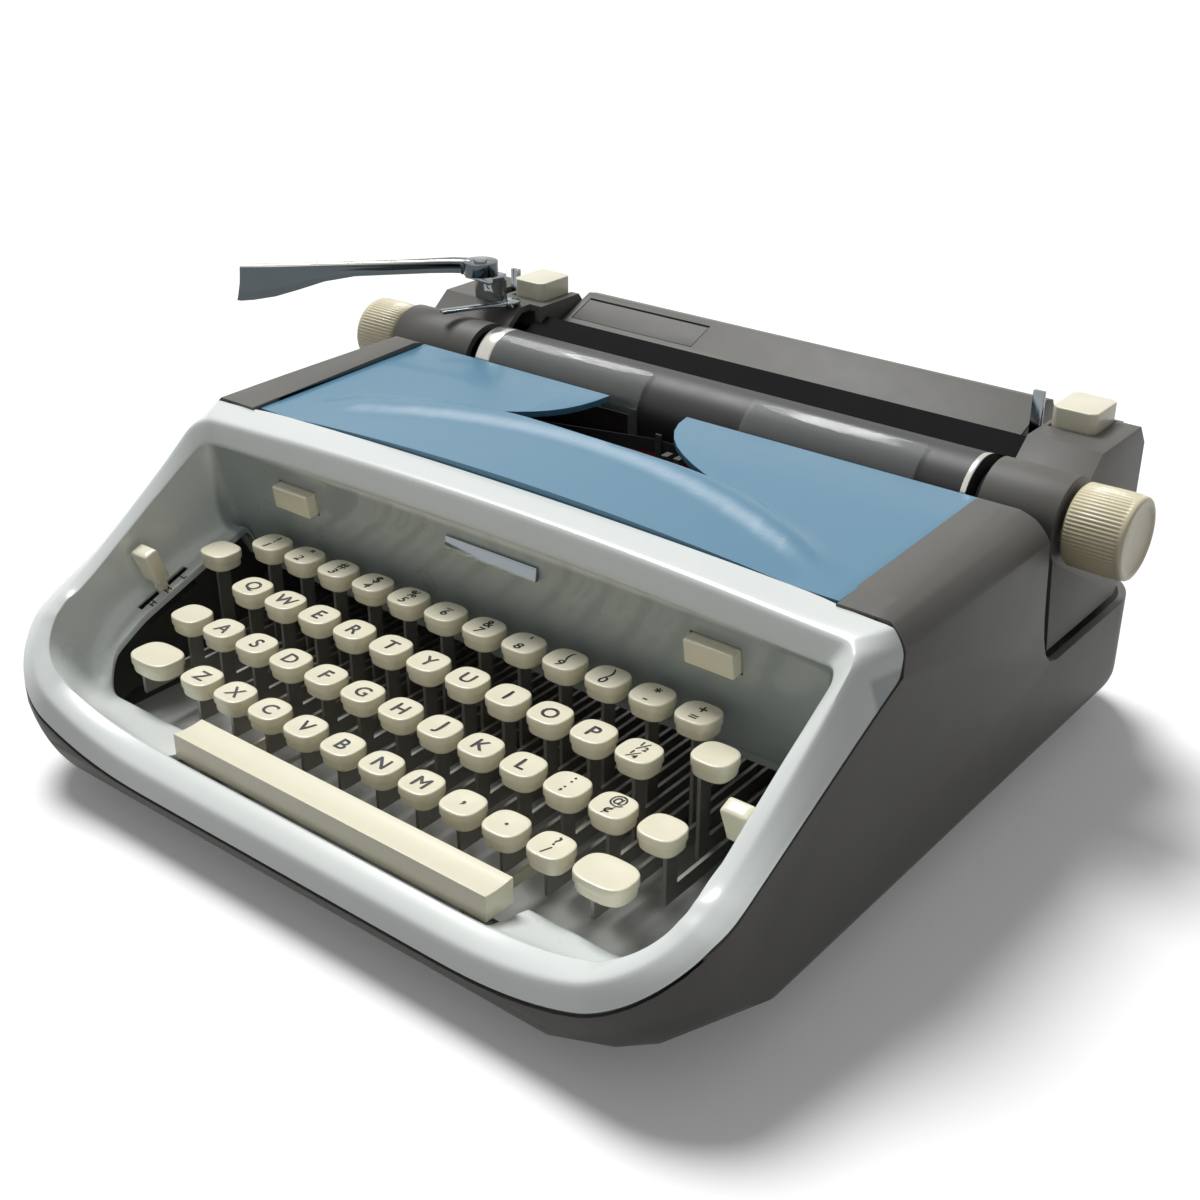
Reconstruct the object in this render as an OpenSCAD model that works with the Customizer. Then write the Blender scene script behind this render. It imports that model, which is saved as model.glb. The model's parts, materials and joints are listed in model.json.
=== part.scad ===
// Portable typewriter: case, keyboard, type basket and carriage as separate pieces.
// Millimetres. +X is the typist's right, +Y the back, +Z up.
// The origin is on the table, under the middle of the case.

/* [Keyboard] */
// Distance between neighbouring keys of a row
key_pitch = 19.05; // [18.8:0.05:19.4]
// Distance front to back between rows
row_step = 19.47; // [19:0.05:20.4]
// Height that each row drops below the one behind it
row_drop = 8.93; // [8.2:0.05:9.4]
// Place of the number row, front to back
row0_y = -60; // [-62:0.5:-58]
// Height of the number row's tops above the table
row0_z = 74; // [72:0.5:78]
// Width of a key top
key_w = 15; // [13.5:0.1:15.4]
// Depth of a key top
key_d = 14; // [12.5:0.1:14.4]
// Height of a key top
key_h = 7; // [6:0.1:7.5]
// Height of the wide upper part of a key top
key_tier = 4.5; // [3.5:0.1:5]
// Step in from the upper part of a key top to its neck
neck_step = 2; // [1.5:0.1:3]
// Cut across each corner of a key top
key_cut = 1.3; // [0.8:0.1:2]
// Width of a shift key
shift_w = 21; // [18:0.5:21.5]
// Depth of a shift key
shift_d = 16; // [14:0.5:16.5]
// Length of the space bar
space_w = 151; // [140:1:156]
// Depth of the space bar
space_d = 13; // [11:0.5:14]
// Height of the space bar
space_h = 10; // [8:0.5:11]
// Height of the space bar's top above the table
space_z = 42; // [40:0.5:44]
// Downward travel at a letter key
key_travel = 12; // [9:0.5:12]
// Thickness of a key lever
lever_t = 1.4; // [1:0.1:1.6]
// Height of a key lever's bar
lever_h = 6; // [5:0.5:7]
// Radius of the rod that the key levers turn on
rod_r = 2.5; // [2:0.1:3]
// Place of that rod, front to back
rod_y = 75; // [74:0.5:77]
// Height of that rod
rod_z = 34; // [33:0.5:35]

/* [Case] */
// Wall of the case and of the keyboard frame
wall = 3; // [2.2:0.1:3.4]
// Width of the keyboard frame, from the key opening to the outside
side_band = 26; // [25:0.5:30]
// Width of the raised rim along each side of the keyboard
rim_w = 16; // [14:0.5:18]
// Height of the case top
case_top = 122; // [121:0.5:125]
// Height of the low rear part of the case
deck_z = 54; // [50:0.5:55]
// Place of the case's rear face
case_rear = 166; // [162:1:175]
// Height of the keyboard frame's rim at its top end
rim_z = 118; // [117:0.5:120]
// Height of the front lip
lip_z = 31; // [29:0.5:32]
// Height of the seam under the front lip
seam_z = 20; // [18:0.5:21]
// Width of the lip in front of the space bar
lip_band = 13.7; // [12:0.1:18]
// Radius of the case's top side edges
top_r = 18; // [12:1:20]
// Radius of the case's bottom side edges
tuck_r = 14; // [10:1:16]
// Radius of the front corners seen from above
corner_r = 34; // [28:1:40]
// Radius of the tuck under the front corners
corner_tuck = 34; // [26:1:36]
// Radius of the rear corners seen from above
rear_r = 26; // [18:1:34]
// Height of the case above the table
foot_h = 8; // [6:0.5:9]
// Radius of a rubber foot
foot_r = 9; // [7:0.5:11]
// Thickness of the base plate
pan_t = 2; // [1.5:0.1:2.2]
// Thickness of the panels inside the keyboard frame
panel_t = 2.5; // [2:0.1:3]

/* [Top cover] */
// Thickness of the cover's sheet
cover_t = 2.5; // [2:0.1:2.8]
// Depth of the cover
cover_d = 95; // [93:0.5:96]
// Rise of the crowned front part at its middle
crown = 5; // [3:0.5:5.5]
// Half width of the crowned part
crown_hw = 118; // [110:1:124]
// Height of the cover's front edge at its ends
cover_z = 117.5; // [117:0.1:118.5]
// Rise of the cover from front to rear
cover_rise = 2.5; // [1:0.1:3]
// Radius of the cover's hinge pins
pin_r = 1.5; // [1.2:0.1:1.8]

/* [Type basket] */
// Radius of the arc that the type bars turn on
arc_r = 36; // [35:0.5:38]
// Height of that arc
arc_z = 57; // [56:0.5:57.5]
// Length of a type bar
bar_len = 59; // [56:0.5:60]
// Thickness of a type bar
bar_t = 0.9; // [0.7:0.05:1]
// Slope of a resting type bar
bar_rest = 10; // [8:0.5:12]
// Angle between neighbouring type bars
bar_step = 3.2; // [3.1:0.05:3.3]
// Radius of a ribbon spool's flange
spool_r = 22; // [20:0.5:23]
// Width of the ribbon
ribbon_w = 12; // [11:0.5:13]

/* [Carriage] */
// Radius of the platen
platen_r = 16.5; // [15.5:0.1:16.6]
// Length of the platen
platen_len = 242; // [236:1:244]
// Middle of the platen, left to right, as the carriage stands
platen_x = 4; // [2:0.5:6]
// Place of the platen's axis, front to back
platen_y = 84.5; // [84:0.1:86]
// Height of the platen's axis
platen_z = 108.5; // [107.5:0.1:109.5]
// Radius of the platen's shaft
shaft_r = 3; // [2.5:0.1:3.5]
// Radius of a platen knob
knob_r = 15.8; // [14.5:0.1:16]
// Length of a platen knob
knob_len = 23; // [20:0.5:26]
// Length of the right end cap
cap_right = 30; // [28:0.5:33]
// Length of the left end cap
cap_left = 46; // [44:0.5:48]
// Wall of the end caps
cap_wall = 3; // [2:0.1:3.2]
// Height of the end caps' boxes
box_z = 128; // [126.5:0.5:129]
// Height of the carriage's underside
under_z = 58; // [57.5:0.5:59]
// Width of a margin button
margin_w = 18; // [16:0.5:19]
// Depth of a margin button
margin_d = 21; // [18:0.5:22]
// Length of the return lever from its pivot
return_len = 118; // [100:1:124]
// Height of the return lever's paddle
paddle_h = 14; // [11:0.5:15]
// Thickness of the return lever
return_t = 3; // [2.5:0.1:4]

/* [Hidden] */
$fn = 64;

// Gap of a part that runs on a pin or a shaft, on the radius
run = 0.06;
// Gap between pieces that pass each other
gap = 0.4;
// Overlap that joins two shapes of one piece
bite = 0.5;

// Keys stand in four rows, each set off to the right by part of a pitch
row_offset = [0, 0.5, 0.75, 1.25];
row_count = [12, 11, 11, 10];
field_shift = -4.4;
center_index = 5;
function row_y(r) = row0_y - r * row_step;
function row_z(r) = row0_z - r * row_drop;
function key_x(r, i) = (i + row_offset[r] - 5.5) * key_pitch + field_shift;
side_key_back = 12;
side_key_drop = 4;
side_key_y = row_y(0) - side_key_back;
side_key_z = row_z(0) - side_key_drop;
back_x = key_x(0, -1) + 1.2;
tab_x = key_x(0, row_count[0] - 1) + key_w + gap;
lock_x = key_x(2, -1);
release_x = key_x(2, 11) + 0.5;
shift_left_x = key_x(3, -1) - (shift_w - key_w) / 2 - 4.5;
shift_right_x = key_x(3, 10) + (shift_w - key_w) / 2;
space_x = 7.5;
space_gap = 21.4;
space_y = row_y(3) - space_gap;
arm_left_x = key_x(0, 0) + 10.5 * key_pitch / 4;
arm_right_x = key_x(0, 0) + 37.5 * key_pitch / 4;
eye_r = rod_r + 2;

// Keyboard opening, rim and case
well_gap = 2.5;
well_hw = key_w / 2 - back_x + well_gap;
half_w = well_hw + side_band;
inner_hw = half_w - rim_w;
front_y = space_y - space_d / 2 - lip_band;
lip_y = row_y(3) - 9.6;
panel_foot_y = row_y(0) + 14;
panel_lean = 8;
panel_top_y = panel_foot_y - panel_lean;
panel_foot_z = 57;
panel_top_z = rim_z - 6;
rim_back = panel_foot_y + 5;
case_front_top = rim_z + 0.5;
floor_z = foot_h + wall;
floor_rim = 36;
foot_x = half_w - floor_rim - 14;
foot_front = front_y + floor_rim + 24;
foot_rear = case_rear - floor_rim - 24;
corner_cuts = [[22, 1.05], [45, 0.98], [66, 0.85]];
pan_top = floor_z + pan_t;
panel_a = atan(panel_lean / (panel_top_z - panel_foot_z));
shelf_back_z = panel_foot_z + 14;
shelf_run = 58;
shelf_fall = 21;
shelf_a = atan(shelf_fall / shelf_run);
function shelf_at(y) = shelf_back_z - (panel_foot_y - 1 - y) * tan(shelf_a);
slot_x = (well_hw + inner_hw) / 2;
slot_y = row_y(1) - 11.5;
slot_len = 26;
slot_w = 3;
button_x = 100.5;
button_z = 92.7;
button_y = panel_foot_y - (button_z - panel_foot_z) * tan(panel_a);
button_w = 20;
button_h = 9.5;

// Notch in the case's sides for the carriage
notch_y = 58;
notch_foot = 86;

// Top cover
cover_hw = well_hw - 0.5;
cover_y = rim_back + 4;
cover_a = asin(cover_rise / cover_d);
hinge_y = cover_y + cover_d - 4;
hinge_z = case_top - 9;
lug_r = 4;
lug_t = 3.5;

// Inner frame
frame_x = well_hw + 2;
frame_t = 2.5;
frame_front = rim_back + 1;
frame_rear = 138;
rail_z = 43;
rail_h = 10;
rail_y = 100;
rail_d = 20;
deck_plate_z = rail_z - 2.5;
basket_y = platen_y - 17;
ring_in = arc_r - 5;
ring_out = arc_r + 6;
bar_count = 44;
center_bar = 22;
slot_t = bar_t + 0.3;
ring_z = arc_z - 7;
ring_h = 11;
post_x = 50;
post_y = basket_y - 7.5;
post_r = 3;
spool_x = 98;
spool_y = 24;
spool_z = 89;
spool_core = 8;
spool_fill = 17;
spool_pin = 2;
flange_t = 1;
spool_gap = ribbon_w + 2;
cup_t = 1.5;
ribbon_t = 0.4;
ribbon_y = platen_y - 19.1;
guide_x = 14;
drum_x = -100;
drum_y = 142;
drum_z = 32;
drum_r = 18;
drum_d = 10;
stud_r = 3;

// Carriage
platen_left = platen_x - platen_len / 2;
platen_right = platen_x + platen_len / 2;
side_gap = 1.5;
side_t = 2;
plate_left = platen_left - side_gap - side_t;
plate_right = platen_right + side_gap;
cap_left_in = plate_left - side_gap;
cap_left_out = cap_left_in - cap_left;
cap_right_in = plate_right + side_t + side_gap;
cap_right_out = cap_right_in + cap_right;
knob_gap = 2;
nose_r = 16.8;
beam_z = under_z + cap_wall + 0.2;
beam_h = 4.8;
beam_top = beam_z + beam_h;
beam_y = 92;
beam_d = 38;
truck_x = -5;
truck_hw = 40;
box_y = 113;
box_rear = 146;
box_ext = 7;
cover_left = cap_left_in + box_ext + 1.5;
cover_right = platen_right - 6;
table_y = 121;
table_z = 117.5;
table_run = 25;
table_up = 10;
table_a = atan(table_up / table_run);
table_rear = 155;
flap_left = cover_left + 4;
flap_w = 68;
flap_d = 14;
flap_at = 8;
flap_t = 1.4;
margin_y = box_rear - 16;
margin_h = 13;
margin_top = box_z + 8;
margin_left_x = cap_left_in - 7;
margin_right_x = cap_right_in + 11;
release_y = box_rear - 17;
release_z = 100;
release_r = 2;
tab_w = 4.6;
tab_t = 2;
tab_top = box_z + 9;
tab_left_x = margin_left_x - margin_w / 2 - 6.5;
tab_right_x = cover_right + 3.8;
pivot_x = cap_left_in - 19;
pivot_y = 101;
pivot_r = 3;
bracket_h = 13.4;
hub_r = 8;
hub_h = 6;
return_a = 209.2;
roller_r = 5;
roller_pin = 2;
roller_y = platen_y + 2.5;
roller_z = platen_z - sqrt(pow(platen_r + roller_r + 0.3, 2) - pow(roller_y - platen_y, 2));
apron_y = platen_y + 19;
blade_x = cap_left_in - 5;
blade_y = 106;
blade_len = 34;
blade_a = 243;

function bez(p, t) =
    pow(1 - t, 3) * p[0] + 3 * t * pow(1 - t, 2) * p[1] + 3 * t * t * (1 - t) * p[2] + pow(t, 3) * p[3];
function curve(p, n) = [for (i = [0:n]) bez(p, i / n)];
function rev(v) = [for (i = [len(v) - 1:-1:0]) v[i]];
function moved(v, d) = [for (p = v) p + d];

// A side outline in Y and Z, drawn out along X from x0
module along_x(x0, length) {
    translate([x0, 0, 0])
        rotate([90, 0, 90])
            linear_extrude(length)
                children();
}

// A front outline in X and Z, drawn out along Y from y0
module along_y(y0, length) {
    translate([0, y0 + length, 0])
        rotate([90, 0, 0])
            linear_extrude(length)
                children();
}

// A rectangle about the Y axis with its own radius at each end
module round_rect(hw, y0, y1, r0, r1) {
    translate([-hw, y0 + r0])
        square([2 * hw, y1 - y0 - r0 - r1]);
    translate([-hw + r0, y0])
        square([2 * (hw - r0), y1 - y0 - r1]);
    translate([-hw + r1, y0 + r0])
        square([2 * (hw - r1), y1 - y0 - r0]);
    for (s = [-1, 1]) {
        translate([s * (hw - r0), y0 + r0])
            circle(r0);
        translate([s * (hw - r1), y1 - r1])
            circle(r1);
    }
}

// Section of a case edge: a strip r deep with a rounded foot of radius t
module edge_strip(r, t, z0) {
    translate([0, z0 + t])
        square([r, 2 * case_top]);
    translate([0, z0])
        square([r - t, t + bite]);
    translate([r - t, z0 + t])
        intersection() {
            circle(t);
            translate([0, -t])
                square(t);
        }
}

// A quarter turn of that section at a corner, from angle a
module edge_corner(x, y, r, inset, a) {
    translate([x, y, 0])
        rotate([0, 0, a])
            rotate_extrude(angle = 90)
                edge_strip(r - inset, tuck_r - inset, foot_h + inset);
}

// A deeper tuck under a front corner: cut gives its angle from the side and its share of the radius
module corner_cut(cut, inset) {
    a = cut[0];
    reach = (half_w - corner_r) * cos(a) - (front_y + corner_r) * sin(a) + corner_r + gap - inset;
    rotate([0, 0, -a])
        along_y(-2 * half_w, 4 * half_w) {
            translate([-3 * half_w, 0])
                square([3 * half_w + 1, 3 * case_top]);
            edge_strip(reach, cut[1] * corner_tuck - inset, foot_h + inset - bite);
        }
}

// All the tucks of one front corner
module corner_tucks(inset) {
    intersection() {
        corner_cut(corner_cuts[0], inset);
        corner_cut(corner_cuts[1], inset);
        corner_cut(corner_cuts[2], inset);
    }
}

// Front view of the case's rounded top edges, run from front to back
module top_section(inset) {
    along_y(front_y - 1, case_rear - front_y + 2)
        round_rect(half_w + 1 - inset, 0, case_top - inset, 1, top_r - inset);
}

// The space inside the case's outer skin, less a wall
module envelope(inset) {
    t = tuck_r - inset;
    z0 = foot_h + inset;
    front_hw = half_w - corner_r;
    rear_hw = half_w - rear_r;
    intersection() {
        union() {
            along_y(front_y + corner_r, case_rear - rear_r - front_y - corner_r) {
                edge_strip(half_w - inset, t, z0);
                mirror([1, 0])
                    edge_strip(half_w - inset, t, z0);
            }
            along_x(-front_hw, 2 * front_hw)
                mirror([1, 0])
                    edge_strip(-front_y - inset, t, z0);
            along_x(-rear_hw, 2 * rear_hw)
                edge_strip(case_rear - inset, t, z0);
            edge_corner(front_hw, front_y + corner_r, corner_r, inset, -90);
            edge_corner(-front_hw, front_y + corner_r, corner_r, inset, 180);
            edge_corner(rear_hw, case_rear - rear_r, rear_r, inset, 0);
            edge_corner(-rear_hw, case_rear - rear_r, rear_r, inset, 90);
        }
        corner_tucks(inset);
        mirror([1, 0, 0])
            corner_tucks(inset);
        top_section(inset);
    }
}

// The same space above the tuck
module upper_space(inset) {
    intersection() {
        linear_extrude(2 * case_top)
            round_rect(half_w - inset, front_y + inset, case_rear - inset, corner_r - inset, rear_r - inset);
        top_section(inset);
    }
}

// Crest of the keyboard rim seen from the side
crest = curve([
    [rim_back - 5, rim_z], [rim_back - 47, rim_z - 8],
    [front_y + 18, lip_z + 37], [front_y, lip_z - 3]
], 14);
// Seam between the rim and the case: along the sides, and round the front
seam_turn = [front_y + 21, seam_z + 34];
side_seam = curve([
    [rim_back, rim_z - 17], [rim_back - 32, rim_z - 31],
    [seam_turn[0] + 27, seam_turn[1] + 12], seam_turn
], 8);
front_seam = curve([
    [0.46 * half_w, seam_z], [0.74 * half_w, seam_z], [half_w - 13, seam_z + 16],
    [half_w - 2, seam_turn[1]]
], 10);
notch = curve([
    [notch_y, case_top - 4], [notch_y + 7, case_top - 24],
    [notch_y + 2, deck_z], [notch_foot - 4, deck_z]
], 8);

// Case

module base_pan() {
    seat = 0.2;
    edge = tuck_r + gap;
    color("dimgray")
        intersection() {
            translate([0, 0, floor_z])
                linear_extrude(pan_t)
                    round_rect(half_w - edge, front_y + edge, case_rear - edge, corner_r, rear_r);
            translate([0, 0, -seat])
                corner_tucks(wall + seat);
            translate([0, 0, -seat])
                mirror([1, 0, 0])
                    corner_tucks(wall + seat);
        }
}

module rubber_feet() {
    color("black")
        for (x = [-foot_x, foot_x], y = [foot_front, foot_rear])
            translate([x, y, 0])
                cylinder(h = floor_z, r = foot_r);
}

// The space below the seam, less a gap
module below_seam(drop) {
    edge = moved(front_seam, [0, -drop]);
    left = [for (p = rev(edge)) [-p[0], p[1]]];
    side_top = edge[len(edge) - 1][1];
    along_y(front_y - 2, seam_turn[0] - front_y + 2 + bite)
        polygon(concat(
            [[half_w + 1, 0], [half_w + 1, side_top]], rev(edge), rev(left),
            [[-half_w - 1, side_top], [-half_w - 1, 0]]
        ));
    along_x(-half_w - 1, 2 * half_w + 2)
        polygon(concat(
            [[rim_back + drop + bite, 0], [rim_back + drop + bite, side_seam[0][1] - drop]],
            moved(side_seam, [0, -drop]), [[seam_turn[0], 0]]
        ));
}

module body_shell() {
    outline = concat(
        [[rim_back + gap, 0], [rim_back + gap, case_front_top]],
        [[notch_y - 6, case_top], [notch_y - 2, case_top - 1]], notch,
        [[case_rear - 1, deck_z], [case_rear + 1, deck_z - 2], [case_rear + 1, 0]]
    );
    floor_hw = half_w - floor_rim;
    floor_front = front_y + floor_rim;
    floor_rear = case_rear - floor_rim;
    color("dimgray")
        difference() {
            intersection() {
                union() {
                    along_x(-half_w, 2 * half_w)
                        polygon(outline);
                    below_seam(gap);
                }
                envelope(0);
            }
            envelope(wall);
            linear_extrude(floor_z + 1)
                round_rect(floor_hw, floor_front, floor_rear, corner_r, rear_r);
            translate([-cover_hw - gap, rim_back - 1, case_top - 20])
                cube([2 * (cover_hw + gap), notch_y - rim_back + 40, 40]);
        }
}

// Outline of the rim's solid, or of the hollow w below its skin
function rim_outline(w) = concat(
    [[rim_back + w, rim_z - w]], moved(crest, [0.6 * w, -w]),
    [[front_y - 1, lip_z - 4 - w], [front_y - 1, 0], [rim_back + w, 0]]
);

// The rim along one side, hollow behind its corner
module rim_side() {
    hollow_front = seam_turn[0] + 2 * wall;
    hollow = concat(
        [[rim_back + 1, rim_z - wall]],
        [for (p = crest) if (p[0] > hollow_front) p + [0.6 * wall, -wall]],
        [[hollow_front, 0], [rim_back + 1, 0]]
    );
    intersection() {
        difference() {
            along_x(inner_hw + panel_t - bite, rim_w - panel_t + bite)
                polygon(rim_outline(0));
            below_seam(0);
            along_x(inner_hw + panel_t, rim_w - panel_t - 2 * wall)
                polygon(hollow);
        }
        upper_space(0);
    }
}

// Slope that lifts the lip to the crest at a front corner
module corner_slope(w) {
    rise_a = 33;
    intersection() {
        along_x(half_w - 2 * corner_r, inner_hw + bite - half_w + 2 * corner_r)
            polygon(rim_outline(w));
        translate([well_hw, lip_y, lip_z - 2 - w])
            rotate([0, 0, -45])
                rotate([0, -rise_a, 0])
                    translate([-2 * corner_r, -2 * corner_r, -4 * corner_r])
                        cube([4 * corner_r, 4 * corner_r, 4 * corner_r]);
        translate([0, front_y - 1, 0])
            cube([half_w, lip_y - front_y + 1 + w, rim_z]);
    }
}

module rim_wall() {
    along_x(inner_hw, panel_t)
        polygon(concat(
            [[rim_back, rim_z]], crest,
            [
                [lip_y - 3, lip_z - 3], [panel_foot_y - 59, shelf_at(panel_foot_y - 59) - 3],
                [panel_foot_y, shelf_back_z - 3], [rim_back, rim_z - 4]
            ]
        ));
}

module rim_shelf() {
    y0 = panel_foot_y - 1;
    y1 = y0 - shelf_run;
    along_x(well_hw, inner_hw - well_hw + bite)
        polygon([
            [y0, shelf_back_z], [y1, shelf_back_z - shelf_fall], [lip_y + 6, lip_z + 9],
            [lip_y - 3, lip_z], [lip_y - 3, lip_z - 3], [lip_y + 5, lip_z + 6],
            [y1, shelf_back_z - shelf_fall - panel_t], [y0 + 1, shelf_back_z - panel_t]
        ]);
}

module rim_top() {
    along_x(-inner_hw - bite, 2 * inner_hw + 2 * bite)
        polygon([
            [rim_back, rim_z], [rim_back - 6, rim_z], [panel_top_y, rim_z - 2.5],
            [panel_top_y - 0.5, rim_z - 5], [panel_foot_y, panel_foot_z],
            [panel_foot_y + panel_t, panel_foot_z], [panel_top_y + panel_t, rim_z - 6],
            [panel_top_y + wall, rim_z - 3], [rim_back, rim_z - 3]
        ]);
}

module front_lip(w) {
    lip_hw = half_w - corner_r + 4;
    lip_foot = w > 0 ? 0 : seam_z;
    along_x(-lip_hw - w, 2 * (lip_hw + w))
        polygon([
            [lip_y + w, lip_z - 3.5 - w], [front_y + 10, lip_z + 1 - w], [front_y + 4, lip_z - w],
            [front_y, lip_z - 4 - w], [front_y, lip_foot], [lip_y + w, lip_foot]
        ]);
}

// The part of the case's wall that stands below the seam
module seam_wall() {
    difference() {
        below_seam(0);
        upper_space(2 * wall + gap);
    }
}

// The lip and its corners as a solid, or the hollow w below their skin
module lip_block(w) {
    corner_slope(w);
    mirror([1, 0, 0])
        corner_slope(w);
    front_lip(w);
}

module lip_skin() {
    intersection() {
        difference() {
            lip_block(0);
            intersection() {
                lip_block(wall);
                upper_space(wall);
            }
            seam_wall();
        }
        upper_space(0);
    }
}

module at_button(s) {
    translate([s * button_x, button_y, button_z])
        rotate([panel_a, 0, 0])
            children();
}

module at_slot(s) {
    translate([s * slot_x, slot_y, shelf_at(slot_y)])
        rotate([shelf_a, 0, 0])
            children();
}

module front_bezel() {
    color("whitesmoke")
        difference() {
            union() {
                lip_skin();
                for (s = [0, 1])
                    mirror([s, 0, 0]) {
                        rim_side();
                        difference() {
                            rim_wall();
                            seam_wall();
                        }
                        rim_shelf();
                    }
                rim_top();
            }
            for (s = [-1, 1]) {
                at_button(s)
                    translate([-button_w / 2 - gap, -10, -button_h / 2 - gap])
                        cube([button_w + 2 * gap, 20, button_h + 2 * gap]);
                at_slot(s)
                    translate([-slot_w / 2, -slot_len / 2, -8])
                        cube([slot_w, slot_len, 12]);
            }
            translate([space_x - space_w / 2 - 2, space_y - space_d / 2 - 2, seam_z - 5])
                cube([space_w + 4, space_d + 12, 24]);
        }
}

module keyboard_tray() {
    tray_hw = well_hw - 1;
    color("gray")
        translate([-tray_hw, lip_y + 1, pan_top])
            cube([2 * tray_hw, panel_foot_y - lip_y, 1.5]);
}

// Top cover, drawn flat and then tilted on its front edge
module cover_frame() {
    translate([0, cover_y, cover_z])
        rotate([cover_a, 0, 0])
            children();
}

left_edge = curve([[-78, 45], [-50, 57], [-33, 65], [-31, cover_d]], 10);
right_edge = curve([[76, 42], [40, 55], [10, 69], [8, cover_d]], 10);

module cover_crown(inset, drop) {
    crown_r = (crown_hw * crown_hw + crown * crown) / (2 * crown);
    intersection() {
        translate([0, 0, -cover_t - (drop > 0 ? 1 : 0)])
            linear_extrude(cover_t + crown + 2)
                polygon([
                    [-crown_hw + inset, inset], [crown_hw - inset, inset], [crown_hw - inset, 20 - inset],
                    [76, 42 - inset], [-78, 45 - inset], [-crown_hw + inset, 36 - inset]
                ]);
        translate([0, -10, crown - crown_r - drop])
            rotate([-90, 0, 0])
                cylinder(h = 80, r = crown_r, $fn = 200);
    }
}

module top_cover() {
    lug_x = cover_hw - lug_t - 0.5;
    color("lightsteelblue")
        difference() {
            union() {
                cover_frame()
                    difference() {
                        union() {
                            translate([0, 0, -cover_t])
                                linear_extrude(cover_t)
                                    polygon(concat(
                                        [[-cover_hw, 0], [cover_hw, 0], [cover_hw, cover_d]],
                                        rev(right_edge), left_edge, [[-cover_hw, cover_d]]
                                    ));
                            cover_crown(0, 0);
                        }
                        cover_crown(cover_t, cover_t);
                    }
                for (s = [0, 1])
                    mirror([s, 0, 0])
                        along_x(lug_x, lug_t) {
                            translate([hinge_y, hinge_z])
                                circle(lug_r);
                            translate([hinge_y - lug_r, hinge_z])
                                square([2 * lug_r, cover_z + cover_rise - hinge_z - cover_t + bite]);
                        }
            }
            for (s = [0, 1])
                mirror([s, 0, 0])
                    along_x(lug_x - 1, lug_t + 2)
                        translate([hinge_y, hinge_z])
                            circle(pin_r + run);
        }
}

module cover_hinge_pins() {
    color("silver")
        for (s = [0, 1])
            mirror([s, 0, 0])
                along_x(cover_hw - lug_t - 1.5, frame_x + frame_t - cover_hw + lug_t + 1.5)
                    translate([hinge_y, hinge_z])
                        circle(pin_r);
}

// Inner frame

module side_frames() {
    color("darkslategray")
        for (s = [0, 1])
            mirror([s, 0, 0])
                difference() {
                    along_x(frame_x, frame_t) {
                        polygon([
                            [frame_front, pan_top], [frame_rear, pan_top], [frame_rear, rail_z],
                            [notch_foot - 4, rail_z], [notch_y + 6, rail_z + 19], [notch_y + 2, spool_z],
                            [hinge_y + lug_r, hinge_z], [hinge_y - lug_r, hinge_z], [hinge_y - lug_r, spool_z],
                            [spool_y - 18, spool_z], [spool_y - 34, rail_z], [frame_front, rail_z]
                        ]);
                        translate([hinge_y, hinge_z])
                            circle(lug_r);
                    }
                    along_x(frame_x - 1, frame_t + 2)
                        translate([hinge_y, hinge_z])
                            circle(pin_r);
                    along_x(frame_x - 1, frame_t + 2)
                        translate([rod_y, rod_z])
                            circle(rod_r);
                }
}

module cross_members() {
    plate_front = basket_y - 50;
    window_hw = 10;
    rear_bar = frame_rear - 8;
    color("slategray") {
        difference() {
            translate([-frame_x, plate_front, deck_plate_z])
                cube([2 * frame_x, basket_y + 2 - plate_front, rail_z - deck_plate_z]);
            translate([-window_hw, basket_y - 44, deck_plate_z - 1])
                cube([2 * window_hw, 40.5, rail_z]);
        }
        for (s = [-1, 1]) {
            translate([s * post_x, post_y, rail_z])
                cylinder(h = 32, r = post_r);
            translate([s * (guide_x - 0.8) - 0.8, basket_y - 4.5, rail_z])
                cube([1.6, 3, 38]);
        }
        translate([-frame_x, frame_front, pan_top])
            cube([2 * frame_x, 4, 4]);
        translate([-frame_x, rear_bar, pan_top])
            cube([2 * frame_x, 4, rail_z - pan_top]);
        translate([drum_x, rear_bar + 4, drum_z])
            rotate([-90, 0, 0])
                cylinder(h = drum_y + drum_d + 1 - rear_bar - 4, r = stud_r);
    }
}

module fulcrum_rod() {
    color("silver")
        along_x(-frame_x - frame_t, 2 * (frame_x + frame_t))
            translate([rod_y, rod_z])
                circle(rod_r);
}

module at_bar(a) {
    translate([0, basket_y, arc_z])
        rotate([0, 0, a])
            translate([0, -arc_r, 0])
                rotate([-bar_rest, 0, 0])
                    rotate([90, 0, -90])
                        children();
}

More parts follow.
